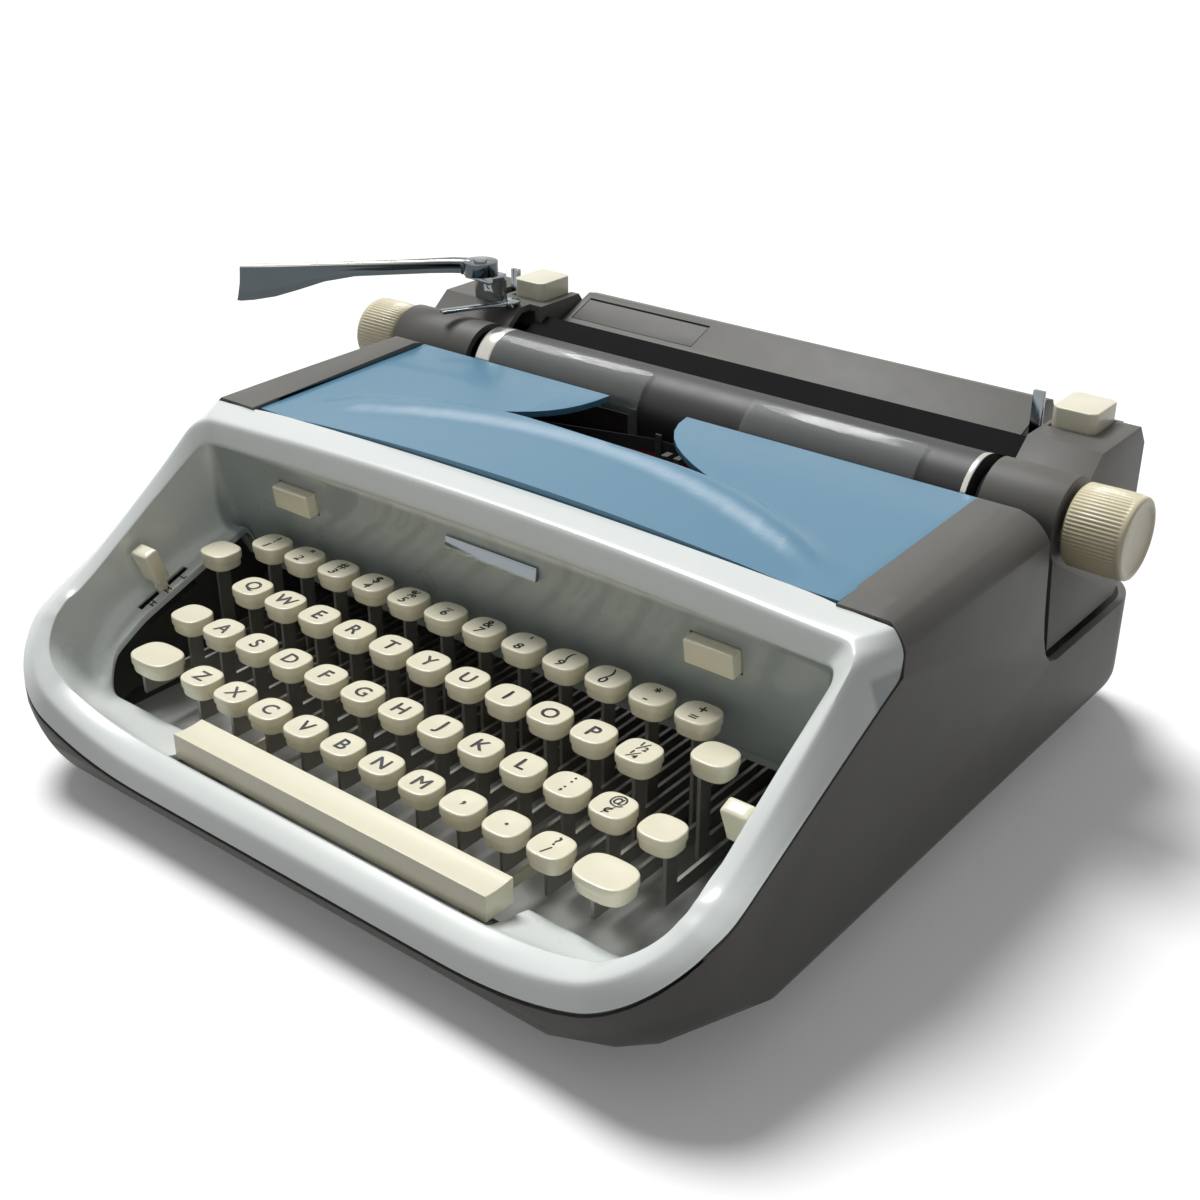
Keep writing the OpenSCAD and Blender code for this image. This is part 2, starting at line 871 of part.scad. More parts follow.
module segment() {
    end_a = bar_step * center_bar + 4;
    color("gray")
        difference() {
            union() {
                difference() {
                    translate([0, basket_y, ring_z])
                        intersection() {
                            difference() {
                                cylinder(h = ring_h, r = ring_out);
                                translate([0, 0, -1])
                                    cylinder(h = ring_h + 2, r = ring_in);
                            }
                            linear_extrude(ring_h)
                                polygon([
                                    [0, 0], [-100 * sin(end_a), -100 * cos(end_a)], [-100, -200],
                                    [100, -200], [100 * sin(end_a), -100 * cos(end_a)]
                                ]);
                        }
                    for (i = [0:bar_count - 1])
                        translate([0, basket_y, arc_z - 4])
                            rotate([0, 0, (i - center_bar) * bar_step])
                                translate([-slot_t / 2, -ring_out - 1, 0])
                                    cube([slot_t, ring_out - ring_in + 2, ring_h]);
                }
                for (s = [-1, 1])
                    translate([s * (post_x - 5.5) - 10.5, post_y - 6, ring_z])
                        cube([21, 12, 2.6]);
                translate([-1.1, basket_y - arc_r, arc_z])
                    rotate([0, 90, 0])
                        cylinder(h = 2.2, r = 0.8);
            }
            for (s = [-1, 1])
                translate([s * post_x, post_y, ring_z - 1])
                    cylinder(h = 5, r = post_r + run);
        }
}

module bar_shape(pin) {
    difference() {
        union() {
            linear_extrude(bar_t, center = true) {
                circle(3);
                translate([0, -2])
                    square([bar_len - 4, 4]);
            }
            translate([bar_len - 6, -3, -1.8])
                cube([8, 6.5, 3.6]);
        }
        if (pin > 0)
            cylinder(h = 4, r = pin, center = true);
    }
}

module typebars() {
    color("silver")
        for (i = [0:bar_count - 1])
            if (i != center_bar)
                at_bar((i - center_bar) * bar_step)
                    bar_shape(0);
}

module center_typebar() {
    color("silver")
        at_bar(0)
            bar_shape(0.8 + run);
}

module type_guide() {
    foot_z = ring_z - 2.5;
    prong_y = basket_y - 9.5;
    color("silver") {
        translate([-8, basket_y - ring_out + 2, foot_z])
            cube([16, ring_out + 2.5 - 9.5, 2.5]);
        for (s = [-1, 1])
            translate([s * 3 - 1.5, prong_y, foot_z + 2.5 - bite])
                cube([3, 4.5, 51]);
    }
}

module ribbon_vibrator() {
    leg_z = rail_z + 17;
    top_z = spool_z + 17;
    leg_x = guide_x - 1.6 - 0.3 - 3;
    color("silver") {
        for (s = [-1, 1])
            translate([s * (leg_x + 1.5) - 1.5, ribbon_y - 1.4, leg_z])
                cube([3, 0.8, top_z - leg_z]);
        translate([-leg_x - 3, ribbon_y - 1.4, leg_z + 24])
            cube([2 * leg_x + 6, 0.8, 5]);
    }
}

// Ribbon from the wound side of a spool to the middle
function tangent(cx, cy, r, px, py) =
    let (d = norm([px - cx, py - cy]), a = atan2(py - cy, px - cx) + acos(r / d))
    [cx + r * cos(a), cy + r * sin(a)];

module ribbon() {
    t = tangent(-spool_x, spool_y, spool_fill + 0.5, -guide_x, ribbon_y);
    path = [t, [-guide_x, ribbon_y], [guide_x, ribbon_y], [-t[0], t[1]]];
    back = rev([for (p = path) p + [0, ribbon_t]]);
    color("firebrick")
        translate([0, 0, spool_z + flange_t + 1])
            linear_extrude(ribbon_w)
                polygon(concat(path, back));
}

module ribbon_spool(s) {
    translate([s * spool_x, spool_y, spool_z])
        difference() {
            union() {
                cylinder(h = flange_t, r = spool_r);
                cylinder(h = spool_gap + 2 * flange_t, r = spool_core);
                translate([0, 0, flange_t])
                    cylinder(h = spool_gap, r = spool_fill);
                translate([0, 0, spool_gap + flange_t])
                    cylinder(h = flange_t, r = spool_r);
            }
            translate([0, 0, -1])
                cylinder(h = spool_gap + 4, r = spool_pin + run);
        }
}

module ribbon_spool_left() {
    color("dimgray")
        ribbon_spool(-1);
}

module ribbon_spool_right() {
    color("dimgray")
        ribbon_spool(1);
}

module spool_cups() {
    cup_z = spool_z - cup_t - 0.2;
    color("slategray")
        for (s = [0, 1])
            mirror([s, 0, 0]) {
                translate([spool_x, spool_y, cup_z]) {
                    cylinder(h = cup_t, r = spool_r + 3);
                    cylinder(h = spool_gap + 2 * flange_t + cup_t, r = spool_pin);
                }
                translate([spool_x, spool_y - 10, cup_z])
                    cube([frame_x - spool_x, 20, cup_t]);
            }
}

module card_holders() {
    r_in = platen_r + 1;
    t = 0.8;
    color("lightgray", 0.5)
        for (span = [[-108, -24], [26, 104]]) {
            along_x(span[0], span[1] - span[0])
                translate([platen_y, platen_z])
                    intersection() {
                        difference() {
                            circle(r_in + t);
                            circle(r_in);
                        }
                        polygon([[0, 0], [-40 * cos(4), 40 * sin(4)], [-40, 60], [-40 * cos(72), 40 * sin(72)]]);
                    }
            post = span[0] < 0 ? span[1] - 4 : span[0];
            translate([post, platen_y - r_in - t - 0.2, rail_z])
                cube([4, 1.2, platen_z + 4.5 - rail_z]);
        }
}

module spring_drum() {
    color("gray")
        translate([drum_x, drum_y, drum_z])
            rotate([-90, 0, 0])
                difference() {
                    union() {
                        cylinder(h = drum_d, r = drum_r - 2);
                        cylinder(h = 1.5, r = drum_r);
                        translate([0, 0, drum_d - 1.5])
                            cylinder(h = 1.5, r = drum_r);
                    }
                    translate([0, 0, -1])
                        cylinder(h = drum_d + 2, r = stud_r + run);
                }
}

// Keys

// A block with its upright edges cut by a cylinder
module soft_block(w, d, h, cut) {
    intersection() {
        translate([-w / 2, -d / 2, 0])
            cube([w, d, h]);
        cylinder(h = h, r = norm([w, d]) / 2 - cut);
    }
}

module key_top(w, d) {
    soft_block(w - 2 * neck_step, d - 2 * neck_step, key_h - key_tier + bite, key_cut);
    translate([0, 0, key_h - key_tier])
        soft_block(w, d, key_tier, key_cut);
}

module key_lever(x, y, top_z) {
    reach = 3;
    difference() {
        along_x(x - lever_t / 2, lever_t) {
            translate([rod_y, rod_z])
                circle(eye_r);
            polygon([
                [rod_y, rod_z - lever_h / 2], [y - reach, rod_z - lever_h + 1],
                [y - reach, top_z - key_h], [y + reach, top_z - key_h],
                [y + reach, rod_z + 1], [rod_y, rod_z + lever_h / 2]
            ]);
        }
        along_x(x - lever_t, 2 * lever_t)
            translate([rod_y, rod_z])
                circle(rod_r + run);
    }
}

function row_keys(r) = [for (i = [0:row_count[r] - 1]) if (r != 2 || i != center_index) i];

module row_tops(r) {
    for (i = row_keys(r))
        translate([key_x(r, i), row_y(r), row_z(r) - key_h])
            key_top(key_w, key_d);
}

module row_levers(r) {
    for (i = row_keys(r))
        key_lever(key_x(r, i), row_y(r), row_z(r));
}

// A key whose top and lever are one piece, with its lever set to one side of its top
module whole_key(x, y, z, w, d, side) {
    translate([x, y, z - key_h])
        key_top(w, d);
    key_lever(x + side, y, z + bite);
}

module number_row_tops() {
    color("ivory")
        row_tops(0);
}

module number_row_levers() {
    color("dimgray")
        row_levers(0);
}

module upper_row_tops() {
    color("ivory")
        row_tops(1);
}

module upper_row_levers() {
    color("dimgray")
        row_levers(1);
}

module home_row_tops() {
    color("ivory")
        row_tops(2);
}

module home_row_levers() {
    color("dimgray")
        row_levers(2);
}

module lower_row_tops() {
    color("ivory")
        row_tops(3);
}

module lower_row_levers() {
    color("dimgray")
        row_levers(3);
}

module center_key() {
    color("ivory")
        whole_key(key_x(2, center_index), row_y(2), row_z(2), key_w, key_d, 0);
}

module shift_key_left() {
    lever_x = lock_x - key_pitch / 4;
    color("ivory")
        whole_key(shift_left_x, row_y(3), row_z(3), shift_w, shift_d, lever_x - shift_left_x);
}

module shift_key_right() {
    lever_x = key_x(3, 10);
    color("ivory")
        whole_key(shift_right_x, row_y(3), row_z(3), shift_w, shift_d, lever_x - shift_right_x);
}

module shift_lock_key() {
    color("ivory")
        whole_key(lock_x, row_y(2), row_z(2), key_w, key_d, 0);
}

module back_space_key() {
    color("ivory")
        whole_key(back_x, side_key_y, side_key_z, key_w, key_d, 0);
}

module tab_key() {
    lever_x = tab_x - 4;
    color("ivory")
        whole_key(tab_x, side_key_y, side_key_z, key_w, key_d, lever_x - tab_x);
}

module margin_release_key() {
    lever_x = key_x(0, 12) - 1;
    color("ivory")
        whole_key(release_x, row_y(2), row_z(2), key_w, key_d, lever_x - release_x);
}

// An arm of the space bar, low enough at the front to clear a pressed lower row
module space_arm(x) {
    reach = 3;
    bar_h = 4.5;
    low = row_z(3) - key_h - key_travel - 2 * gap;
    rise_y = row_y(3) + key_d;
    top = space_z - space_h + bite;
    difference() {
        along_x(x - lever_t / 2, lever_t) {
            translate([rod_y, rod_z])
                circle(eye_r);
            polygon([
                [rod_y, rod_z - lever_h / 2], [rise_y, low - bar_h], [space_y - reach, low - bar_h],
                [space_y - reach, top], [space_y + reach, top], [space_y + reach, low],
                [rise_y, low], [rod_y, rod_z + lever_h / 2]
            ]);
        }
        along_x(x - lever_t, 2 * lever_t)
            translate([rod_y, rod_z])
                circle(rod_r + run);
    }
}

module space_bar() {
    color("ivory") {
        difference() {
            translate([space_x - space_w / 2, space_y - space_d / 2, space_z - space_h])
                cube([space_w, space_d, space_h]);
            translate([space_x - space_w / 2 - 1, space_y, space_z + 38])
                rotate([0, 90, 0])
                    cylinder(h = space_w + 2, r = 38.6, $fn = 128);
        }
        for (x = [arm_left_x, arm_right_x])
            space_arm(x);
    }
}

module panel_button(s) {
    at_button(s)
        translate([-button_w / 2, -5, -button_h / 2])
            cube([button_w, 14, button_h]);
}

module tab_set_button() {
    color("ivory")
        panel_button(1);
}

module tab_clear_button() {
    color("ivory")
        panel_button(-1);
}

module slot_lever(s) {
    at_slot(s) {
        translate([-2.5, -7.5, 0.3])
            cube([5, 15, 18]);
        translate([-1, -4, -8])
            cube([2, 8, 9]);
    }
}

module touch_control() {
    color("ivory")
        slot_lever(-1);
}

module ribbon_selector() {
    color("ivory")
        slot_lever(1);
}

// Carriage

module carriage_rail() {
    groove_r = 1.5;
    color("silver")
        difference() {
            translate([-frame_x - frame_t, rail_y, rail_z])
                cube([2 * (frame_x + frame_t), rail_d, rail_h]);
            for (y = [rail_y, rail_y + rail_d])
                along_x(-frame_x - frame_t - 1, 2 * (frame_x + frame_t) + 2)
                    translate([y, rail_z + rail_h / 2])
                        circle(groove_r);
        }
}

module end_plate(x) {
    difference() {
        along_x(x, side_t) {
            translate([platen_y, platen_z])
                circle(11);
            polygon([
                [platen_y - 4.5, beam_z], [platen_y + 27.5, beam_z], [platen_y + 27.5, platen_z + 8.5],
                [platen_y + 11, platen_z + 4], [platen_y, platen_z - 9], [platen_y - 8, platen_z - 6]
            ]);
        }
        along_x(x - 1, side_t + 2)
            translate([platen_y, platen_z])
                circle(shaft_r + run);
        along_x(x - 1, side_t + 2)
            translate([roller_y, roller_z])
                circle(roller_pin + run);
    }
}

module carriage_frame() {
    slide_gap = 0.3;
    color("slategray") {
        translate([cap_left_out + 8, beam_y, beam_z])
            cube([cap_right_out - cap_left_out - 16, beam_d, beam_h]);
        end_plate(plate_left);
        end_plate(plate_right);
        translate([truck_x - truck_hw, rail_y + 4, rail_z + rail_h + 0.1])
            cube([2 * truck_hw, rail_d - 8, beam_z - rail_z - rail_h]);
        for (y = [rail_y - slide_gap - 2.3, rail_y + rail_d + slide_gap])
            translate([truck_x - truck_hw, y, rail_z + 2])
                cube([2 * truck_hw, 2.3, beam_z - rail_z - 2 + bite]);
    }
}

// Side outline of an end cap's rear part, drawn in by w
function cap_outline(w) = [
    [72 + 1.15 * w, 97], [78 + w, under_z + w], [box_rear - 8 - 0.4 * w, under_z + w],
    [box_rear - w, under_z + 10 + 0.4 * w], [box_rear - w, box_z - 8 - 0.4 * w],
    [box_rear - 6 - 0.4 * w, box_z - w], [106 + 0.4 * w, box_z - w], [96 + 0.8 * w, box_z - 8 - 0.6 * w]
];

module cap_side(w) {
    translate([platen_y, platen_z])
        circle(nose_r - w);
    polygon(cap_outline(w));
}

module margin_pocket(x) {
    translate([x - margin_w / 2 - gap, margin_y - margin_d / 2 - gap, margin_top - margin_h - 6])
        cube([margin_w + 2 * gap, margin_d + 2 * gap, 40]);
}

module margin_well(x) {
    translate([x - margin_w / 2 - 2, margin_y - margin_d / 2 - 2, margin_top - margin_h - 7.5])
        cube([margin_w + 4, margin_d + 4, box_z - margin_top + margin_h + 7]);
}

module shaft_hole(x0, length) {
    along_x(x0, length)
        translate([platen_y, platen_z])
            circle(shaft_r + 2);
}

module end_cap_left() {
    ext = [
        [box_y, under_z], [box_rear - 8, under_z], [box_rear, under_z + 10], [box_rear, box_z - 8],
        [box_rear - 6, box_z], [box_y, box_z]
    ];
    color("dimgray")
        difference() {
            union() {
                difference() {
                    union() {
                        along_x(cap_left_out, cap_left)
                            cap_side(0);
                        along_x(cap_left_in - bite, box_ext + bite)
                            polygon(ext);
                    }
                    along_x(cap_left_out + cap_wall, cap_left)
                        cap_side(cap_wall);
                    translate([cap_left_in - 1, box_y + cap_wall, under_z + cap_wall])
                        cube([box_ext + 2, box_rear - box_y - 2 * cap_wall, box_z - under_z - 2 * cap_wall - 6]);
                    translate([cap_left_in - 1, box_y - 1, under_z + cap_wall])
                        cube([box_ext + 2, cap_wall + 2, beam_top + gap - under_z - cap_wall]);
                }
                intersection() {
                    margin_well(margin_left_x);
                    along_x(cap_left_out, cap_left + box_ext)
                        polygon(ext);
                }
            }
            margin_pocket(margin_left_x);
            translate([tab_left_x - tab_w / 2 - 1, release_y - 12, box_z - 12])
                cube([tab_w + 2, 16, 20]);
            shaft_hole(cap_left_out - 1, 8);
        }
}

module end_cap_right() {
    color("dimgray")
        difference() {
            union() {
                difference() {
                    along_x(cap_right_in, cap_right)
                        cap_side(0);
                    along_x(cap_right_in - cap_wall, cap_right)
                        cap_side(cap_wall);
                }
                margin_well(margin_right_x);
            }
            margin_pocket(margin_right_x);
            shaft_hole(cap_right_out - 6, 8);
        }
}

module platen() {
    color("black")
        along_x(platen_left, platen_len)
            translate([platen_y, platen_z])
                difference() {
                    circle(platen_r);
                    circle(shaft_r);
                }
}

module platen_shaft() {
    ratchet_r = 12;
    teeth = 24;
    tooth = 1.2;
    left = cap_left_out - knob_gap - knob_len + 3;
    right = cap_right_out + knob_gap + knob_len - 3;
    color("silver") {
        along_x(left, right - left)
            translate([platen_y, platen_z])
                circle(shaft_r);
        along_x(platen_left - side_gap + 0.3, side_gap - 0.6)
            translate([platen_y, platen_z])
                polygon([
                    for (i = [0:2 * teeth - 1])
                        let (r = ratchet_r - (i % 2) * tooth, a = i * 180 / teeth)
                        [r * cos(a), r * sin(a)]
                ]);
    }
}

module knob() {
    recess = 3;
    ribs = 40;
    rotate([0, 90, 0])
        difference() {
            union() {
                cylinder(h = knob_len, r = knob_r - 0.8);
                translate([0, 0, knob_len - 4])
                    cylinder(h = 4, r = knob_r);
                for (i = [0:ribs - 1])
                    rotate([0, 0, i * 360 / ribs])
                        translate([knob_r - 1.5, -0.6, 2])
                            cube([1.2, 1.2, knob_len - 5]);
            }
            translate([0, 0, knob_len - recess])
                cylinder(h = recess + 1, r = knob_r - 3);
            translate([0, 0, -1])
                cylinder(h = knob_len + 2, r = shaft_r);
        }
}

module platen_knob_left() {
    color("ivory")
        translate([cap_left_out - knob_gap, platen_y, platen_z])
            mirror([1, 0, 0])
                knob();
}

module platen_knob_right() {
    color("ivory")
        translate([cap_right_out + knob_gap, platen_y, platen_z])
            knob();
}

module on_table() {
    translate([0, table_y, table_z])
        rotate([table_a, 0, 0])
            children();
}

module rear_cover() {
    t = 2.5;
    outer = [
        [table_y, table_z - 3.5], [table_y, table_z], [table_y + table_run, table_z + table_up],
        [table_rear - 3, table_z + table_up - 1.5], [table_rear, table_z + table_up - 7.5],
        [table_rear, beam_top], [beam_y + beam_d - 4, beam_top]
    ];
    inner = [
        [table_y + t, table_z - 4.5], [table_y + t, table_z - 1.7],
        [table_y + table_run + 0.3, table_z + table_up - t - 0.2],
        [table_rear - 5, table_z + table_up - 4], [table_rear - t, table_z + table_up - 9],
        [table_rear - t, beam_top + t], [beam_y + beam_d - 5, beam_top + t]
    ];
    color("dimgray")
        difference() {
            along_x(cover_left, cover_right - cover_left)
                polygon(outer);
            along_x(cover_left + t, cover_right - cover_left - 2 * t)
                polygon(inner);
            along_x(cover_left - 1, cover_right - cover_left + 2)
                translate([release_y, release_z])
                    circle(release_r + run);
            on_table() {
                translate([flap_left - 0.4, flap_at - 0.4, -1.7])
                    cube([flap_w + 0.8, flap_d + 0.8 + 1, 4]);
                translate([flap_left - 2.5, flap_at + flap_d, -0.8])
                    rotate([0, 90, 0])
                        cylinder(h = flap_w + 5, r = 0.7 + run);
            }
        }
}

module paper_support() {
    color("dimgray")
        on_table() {
            translate([flap_left, flap_at, -1.5])
                cube([flap_w, flap_d, flap_t]);
            translate([flap_left - 2, flap_at + flap_d, -0.8])
                rotate([0, 90, 0])
                    cylinder(h = flap_w + 4, r = 0.7);
        }
}

module lever_bracket() {
    color("silver")
        translate([pivot_x, pivot_y, box_z]) {
            difference() {
                translate([-8.5, 5 - pivot_y + 101, 0])
                    cube([17, 3, bracket_h]);
                translate([0, 4, bracket_h / 2])
                    rotate([-90, 0, 0])
                        cylinder(h = 5, r = 1.6);
            }
            translate([-8.5, -1.5, bracket_h - 3])
                cube([17, 7, 3]);
            translate([0, 0, bracket_h - 1])
                cylinder(h = hub_h + 2.2, r = pivot_r);
        }
}

module return_lever() {
    z0 = box_z + bracket_h + 0.1;
    tip_top = z0 - 1.5;
    color("silver")
        translate([pivot_x, pivot_y, 0])
            difference() {
                union() {
                    translate([0, 0, z0])
                        cylinder(h = hub_h, r = hub_r);
                    rotate([0, 0, return_a])
                        rotate([90, 0, 0])
                            linear_extrude(return_t, center = true)
                                polygon([
                                    [5, z0], [60, z0 - 4.5], [return_len - 30, z0 - 12],
                                    [return_len - 4, tip_top - paddle_h], [return_len, tip_top - paddle_h + 3],
                                    [return_len, tip_top - 3], [return_len - 3, tip_top],
                                    [60, z0 + 2.5], [5, z0 + hub_h]
                                ]);
                }
                translate([0, 0, z0 - 1])
                    cylinder(h = hub_h + 2, r = pivot_r + run);
            }
}

module margin_button(x) {
    translate([x, margin_y, margin_top - margin_h])
        soft_block(margin_w, margin_d, margin_h, 1.5);
}

module margin_button_left() {
    color("ivory")
        margin_button(margin_left_x);
}

module margin_button_right() {
    color("ivory")
        margin_button(margin_right_x);
}

module carriage_release() {
    color("silver") {
        along_x(tab_left_x - tab_w / 2, tab_right_x - tab_left_x + tab_w)
            translate([release_y, release_z])
                circle(release_r);
        for (x = [tab_left_x, tab_right_x])
            translate([x - tab_w / 2, release_y - tab_t / 2, release_z])
                cube([tab_w, tab_t, tab_top - release_z]);
    }
}

module paper_release_lever() {
    color("darkgray")
        translate([blade_x, blade_y, box_z + 0.1]) {
            cylinder(h = 2.5, r = 4);
            rotate([0, 0, blade_a])
                translate([0, -2, 0.5])
                    cube([blade_len, 4, 1.5]);
        }
}

module feed_roller() {
    color("dimgray") {
        along_x(platen_left, platen_len)
            translate([roller_y, roller_z])
                circle(roller_r);
        along_x(plate_left, plate_right + side_t - plate_left)
            translate([roller_y, roller_z])
                circle(roller_pin);
    }
}

module paper_apron() {
    color("gray")
        difference() {
            along_x(plate_left + side_t, plate_right - plate_left - side_t)
                polygon([
                    [apron_y, platen_z - 12], [apron_y + 1, platen_z - 12], [apron_y + 2.7, platen_z + 8.4],
                    [apron_y + 13.5, platen_z + 13.4], [apron_y + 13.1, platen_z + 14.3],
                    [apron_y + 1.8, platen_z + 9.1]
                ]);
            translate([cap_left_in, box_y - 1, platen_z])
                cube([box_ext + gap, 10, 20]);
        }
}

// Puts the middle of the front left foot at the origin
module from_foot() {
    translate([foot_x, -foot_front, 0])
        children();
}

from_foot() base_pan();
from_foot() rubber_feet();
from_foot() body_shell();
from_foot() front_bezel();
from_foot() top_cover();
from_foot() cover_hinge_pins();
from_foot() keyboard_tray();
from_foot() side_frames();
from_foot() cross_members();
from_foot() fulcrum_rod();
from_foot() segment();
from_foot() typebars();
from_foot() center_typebar();
from_foot() type_guide();
from_foot() ribbon_vibrator();
from_foot() ribbon();
from_foot() ribbon_spool_left();
from_foot() ribbon_spool_right();
from_foot() spool_cups();
from_foot() card_holders();
from_foot() spring_drum();
from_foot() number_row_tops();
from_foot() number_row_levers();
from_foot() upper_row_tops();
from_foot() upper_row_levers();
from_foot() home_row_tops();
from_foot() home_row_levers();
from_foot() lower_row_tops();
from_foot() lower_row_levers();
from_foot() center_key();
from_foot() shift_key_left();
from_foot() shift_key_right();
from_foot() shift_lock_key();
from_foot() back_space_key();
from_foot() tab_key();
from_foot() margin_release_key();
from_foot() space_bar();
from_foot() tab_set_button();
from_foot() tab_clear_button();
from_foot() touch_control();
from_foot() ribbon_selector();
from_foot() carriage_rail();
from_foot() carriage_frame();
from_foot() end_cap_left();
from_foot() end_cap_right();
from_foot() platen();
from_foot() platen_shaft();
from_foot() platen_knob_left();
from_foot() platen_knob_right();
from_foot() rear_cover();
from_foot() paper_support();
from_foot() return_lever();
from_foot() lever_bracket();
from_foot() margin_button_left();
from_foot() margin_button_right();
from_foot() carriage_release();
from_foot() paper_release_lever();
from_foot() feed_roller();
from_foot() paper_apron();
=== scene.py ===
"""A portable typewriter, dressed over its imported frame."""
import json
import logging
import math
from dataclasses import dataclass, field
from enum import Enum
from typing import Callable, Sequence, Union

import bpy
from mathutils import Matrix, Vector


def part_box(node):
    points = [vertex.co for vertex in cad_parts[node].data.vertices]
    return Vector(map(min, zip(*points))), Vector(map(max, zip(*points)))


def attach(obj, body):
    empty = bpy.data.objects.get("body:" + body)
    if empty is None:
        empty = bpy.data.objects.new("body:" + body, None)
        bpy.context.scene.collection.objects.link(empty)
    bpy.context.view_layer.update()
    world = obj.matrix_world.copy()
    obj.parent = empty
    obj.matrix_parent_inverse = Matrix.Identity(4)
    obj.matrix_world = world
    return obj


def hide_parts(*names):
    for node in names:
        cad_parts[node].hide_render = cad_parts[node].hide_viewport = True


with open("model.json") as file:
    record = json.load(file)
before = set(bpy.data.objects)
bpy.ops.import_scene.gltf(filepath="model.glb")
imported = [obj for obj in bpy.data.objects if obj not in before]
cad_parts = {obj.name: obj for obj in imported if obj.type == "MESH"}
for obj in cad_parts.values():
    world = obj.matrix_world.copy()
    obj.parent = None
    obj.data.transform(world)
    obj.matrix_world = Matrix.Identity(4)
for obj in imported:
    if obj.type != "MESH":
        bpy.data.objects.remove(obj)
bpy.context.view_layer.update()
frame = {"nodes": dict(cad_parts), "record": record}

MM = 0.001
MERGE_REACH = 1e-6
FLAT_ANGLE = 0.6
TINY = 1e-9
LOG = logging.getLogger("typewriter")
RECORD = frame["record"]
BODY_OF = {n: b for b, ns in RECORD["behaviour"]["bodies"].items() for n in ns}
Piece = bpy.types.Object
Point = Sequence[float]
Row = list[tuple[float, ...]]
Value = Union[float, "Socket"]
CASE_FRONT = -160.0
_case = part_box("body_shell")
SHIFT = Vector(((_case[0].x + _case[1].x) / 2, _case[0].y - CASE_FRONT * MM, 0.0))
# Middle of the right slot in the ledge, and the slope of the ledge there.
SLOT_PLACE = (142.0, -91.0, 55.1)
SLOT_TILT = 19.9


def pick(*objs: Piece) -> None:
    """Leaves only these objects selected, with the first one active.

    Args:
        objs: the objects to select.
    """
    if bpy.context.object and bpy.context.object.mode != "OBJECT":
        bpy.ops.object.mode_set(mode="OBJECT")
    bpy.ops.object.select_all(action="DESELECT")
    for obj in objs:
        obj.select_set(True)
    bpy.context.view_layer.objects.active = objs[0] if objs else None


def edit(obj: Piece, *calls: Callable[[], object]) -> None:
    """Runs edit-mode calls on a mesh with everything selected first.

    Args:
        obj: the mesh object.
        calls: calls to run in edit mode.
    """
    pick(obj)
    bpy.ops.object.mode_set(mode="EDIT")
    bpy.ops.mesh.select_all(action="SELECT")
    for call in calls:
        call()
    bpy.ops.object.mode_set(mode="OBJECT")


def face_out() -> None:
    """Turns the selected faces outwards, in edit mode."""
    bpy.ops.mesh.normals_make_consistent(inside=False)


def merge_doubles() -> None:
    """Merges the selected points that coincide, in edit mode."""
    bpy.ops.mesh.remove_doubles(threshold=MERGE_REACH)


def close_ends(obj: Piece) -> None:
    """Fills a lofted piece's open ends."""
    edit(obj, lambda: bpy.ops.mesh.fill_holes(sides=0), face_out)


def modify(obj: Piece, kind: str, **settings: object) -> None:
    """Adds a modifier and applies it.

    Args:
        obj: the mesh object.
        kind: the modifier's type.
        settings: its properties.
    """
    pick(obj)
    mod = obj.modifiers.new(kind, kind)
    for key, value in settings.items():
        setattr(mod, key, value)
    bpy.ops.object.modifier_apply(modifier=mod.name)


def bevel(obj: Piece, width: float, segments: int, angle: float, **settings: object) -> None:
    """Rounds a piece's sharp edges.

    Args:
        obj: the piece.
        width: the rounding, in millimetres.
        segments: faces across it.
        angle: edges sharper than this are rounded.
        settings: more of the modifier's properties.
    """
    modify(
        obj, "BEVEL", width=width * MM, segments=segments, limit_method="ANGLE",
        angle_limit=math.radians(angle), **settings,
    )


def loft(name: str, rows: Sequence[Sequence[Point]], closed: bool = True) -> Piece:
    """Skins a run of sections with equal counts, given in millimetres.

    Args:
        name: the piece's name.
        rows: the sections, in order.
        closed: whether each section is a ring.

    Returns:
        The mesh object, with doubles merged.
    """
    cols = len(rows[0]) + (1 if closed else 0)
    pick()
    bpy.ops.mesh.primitive_grid_add(x_subdivisions=cols - 1, y_subdivisions=len(rows) - 1, size=1)
    obj = bpy.context.object
    obj.name = name
    flat: list[float] = []
    for row in rows:
        ring = list(row) + ([row[0]] if closed else [])
        for p in ring:
            flat.extend(v * MM for v in p)
    obj.data.vertices.foreach_set("co", flat)
    obj.data.update()
    edit(obj, merge_doubles, face_out)
    return obj


def block(lo: Point, hi: Point, turn: float = 0.0) -> Piece:
    """Adds a cube between two corners, in millimetres, turned about its middle.

    Args:
        lo: lowest corner.
        hi: highest corner.
        turn: angle about x, in degrees.

    Returns:
        The cube, with its place in its mesh.
    """
    pick()
    bpy.ops.mesh.primitive_cube_add(size=1)
    obj = bpy.context.object
    size = [(b - a) * MM for a, b in zip(lo, hi)]
    obj.data.transform(Matrix.Diagonal((*size, 1.0)))
    lean(obj, between(lo, hi, 0.5), turn)
    return obj


def block_about(mid: Point, half: Point, turn: float) -> Piece:
    """Adds a turned cube about a middle point, with half its size."""
    return block([m - h for m, h in zip(mid, half)], [m + h for m, h in zip(mid, half)], turn)


def lean(obj: Piece, place: Point, turn: float) -> None:
    """Turns a piece that is modelled about the origin, and sets it at a place.

    Args:
        obj: the piece.
        place: the place, in millimetres.
        turn: angle about x, in degrees.
    """
    obj.data.transform(
        Matrix.Translation(Vector(place) * MM) @ Matrix.Rotation(math.radians(turn), 4, "X")
    )


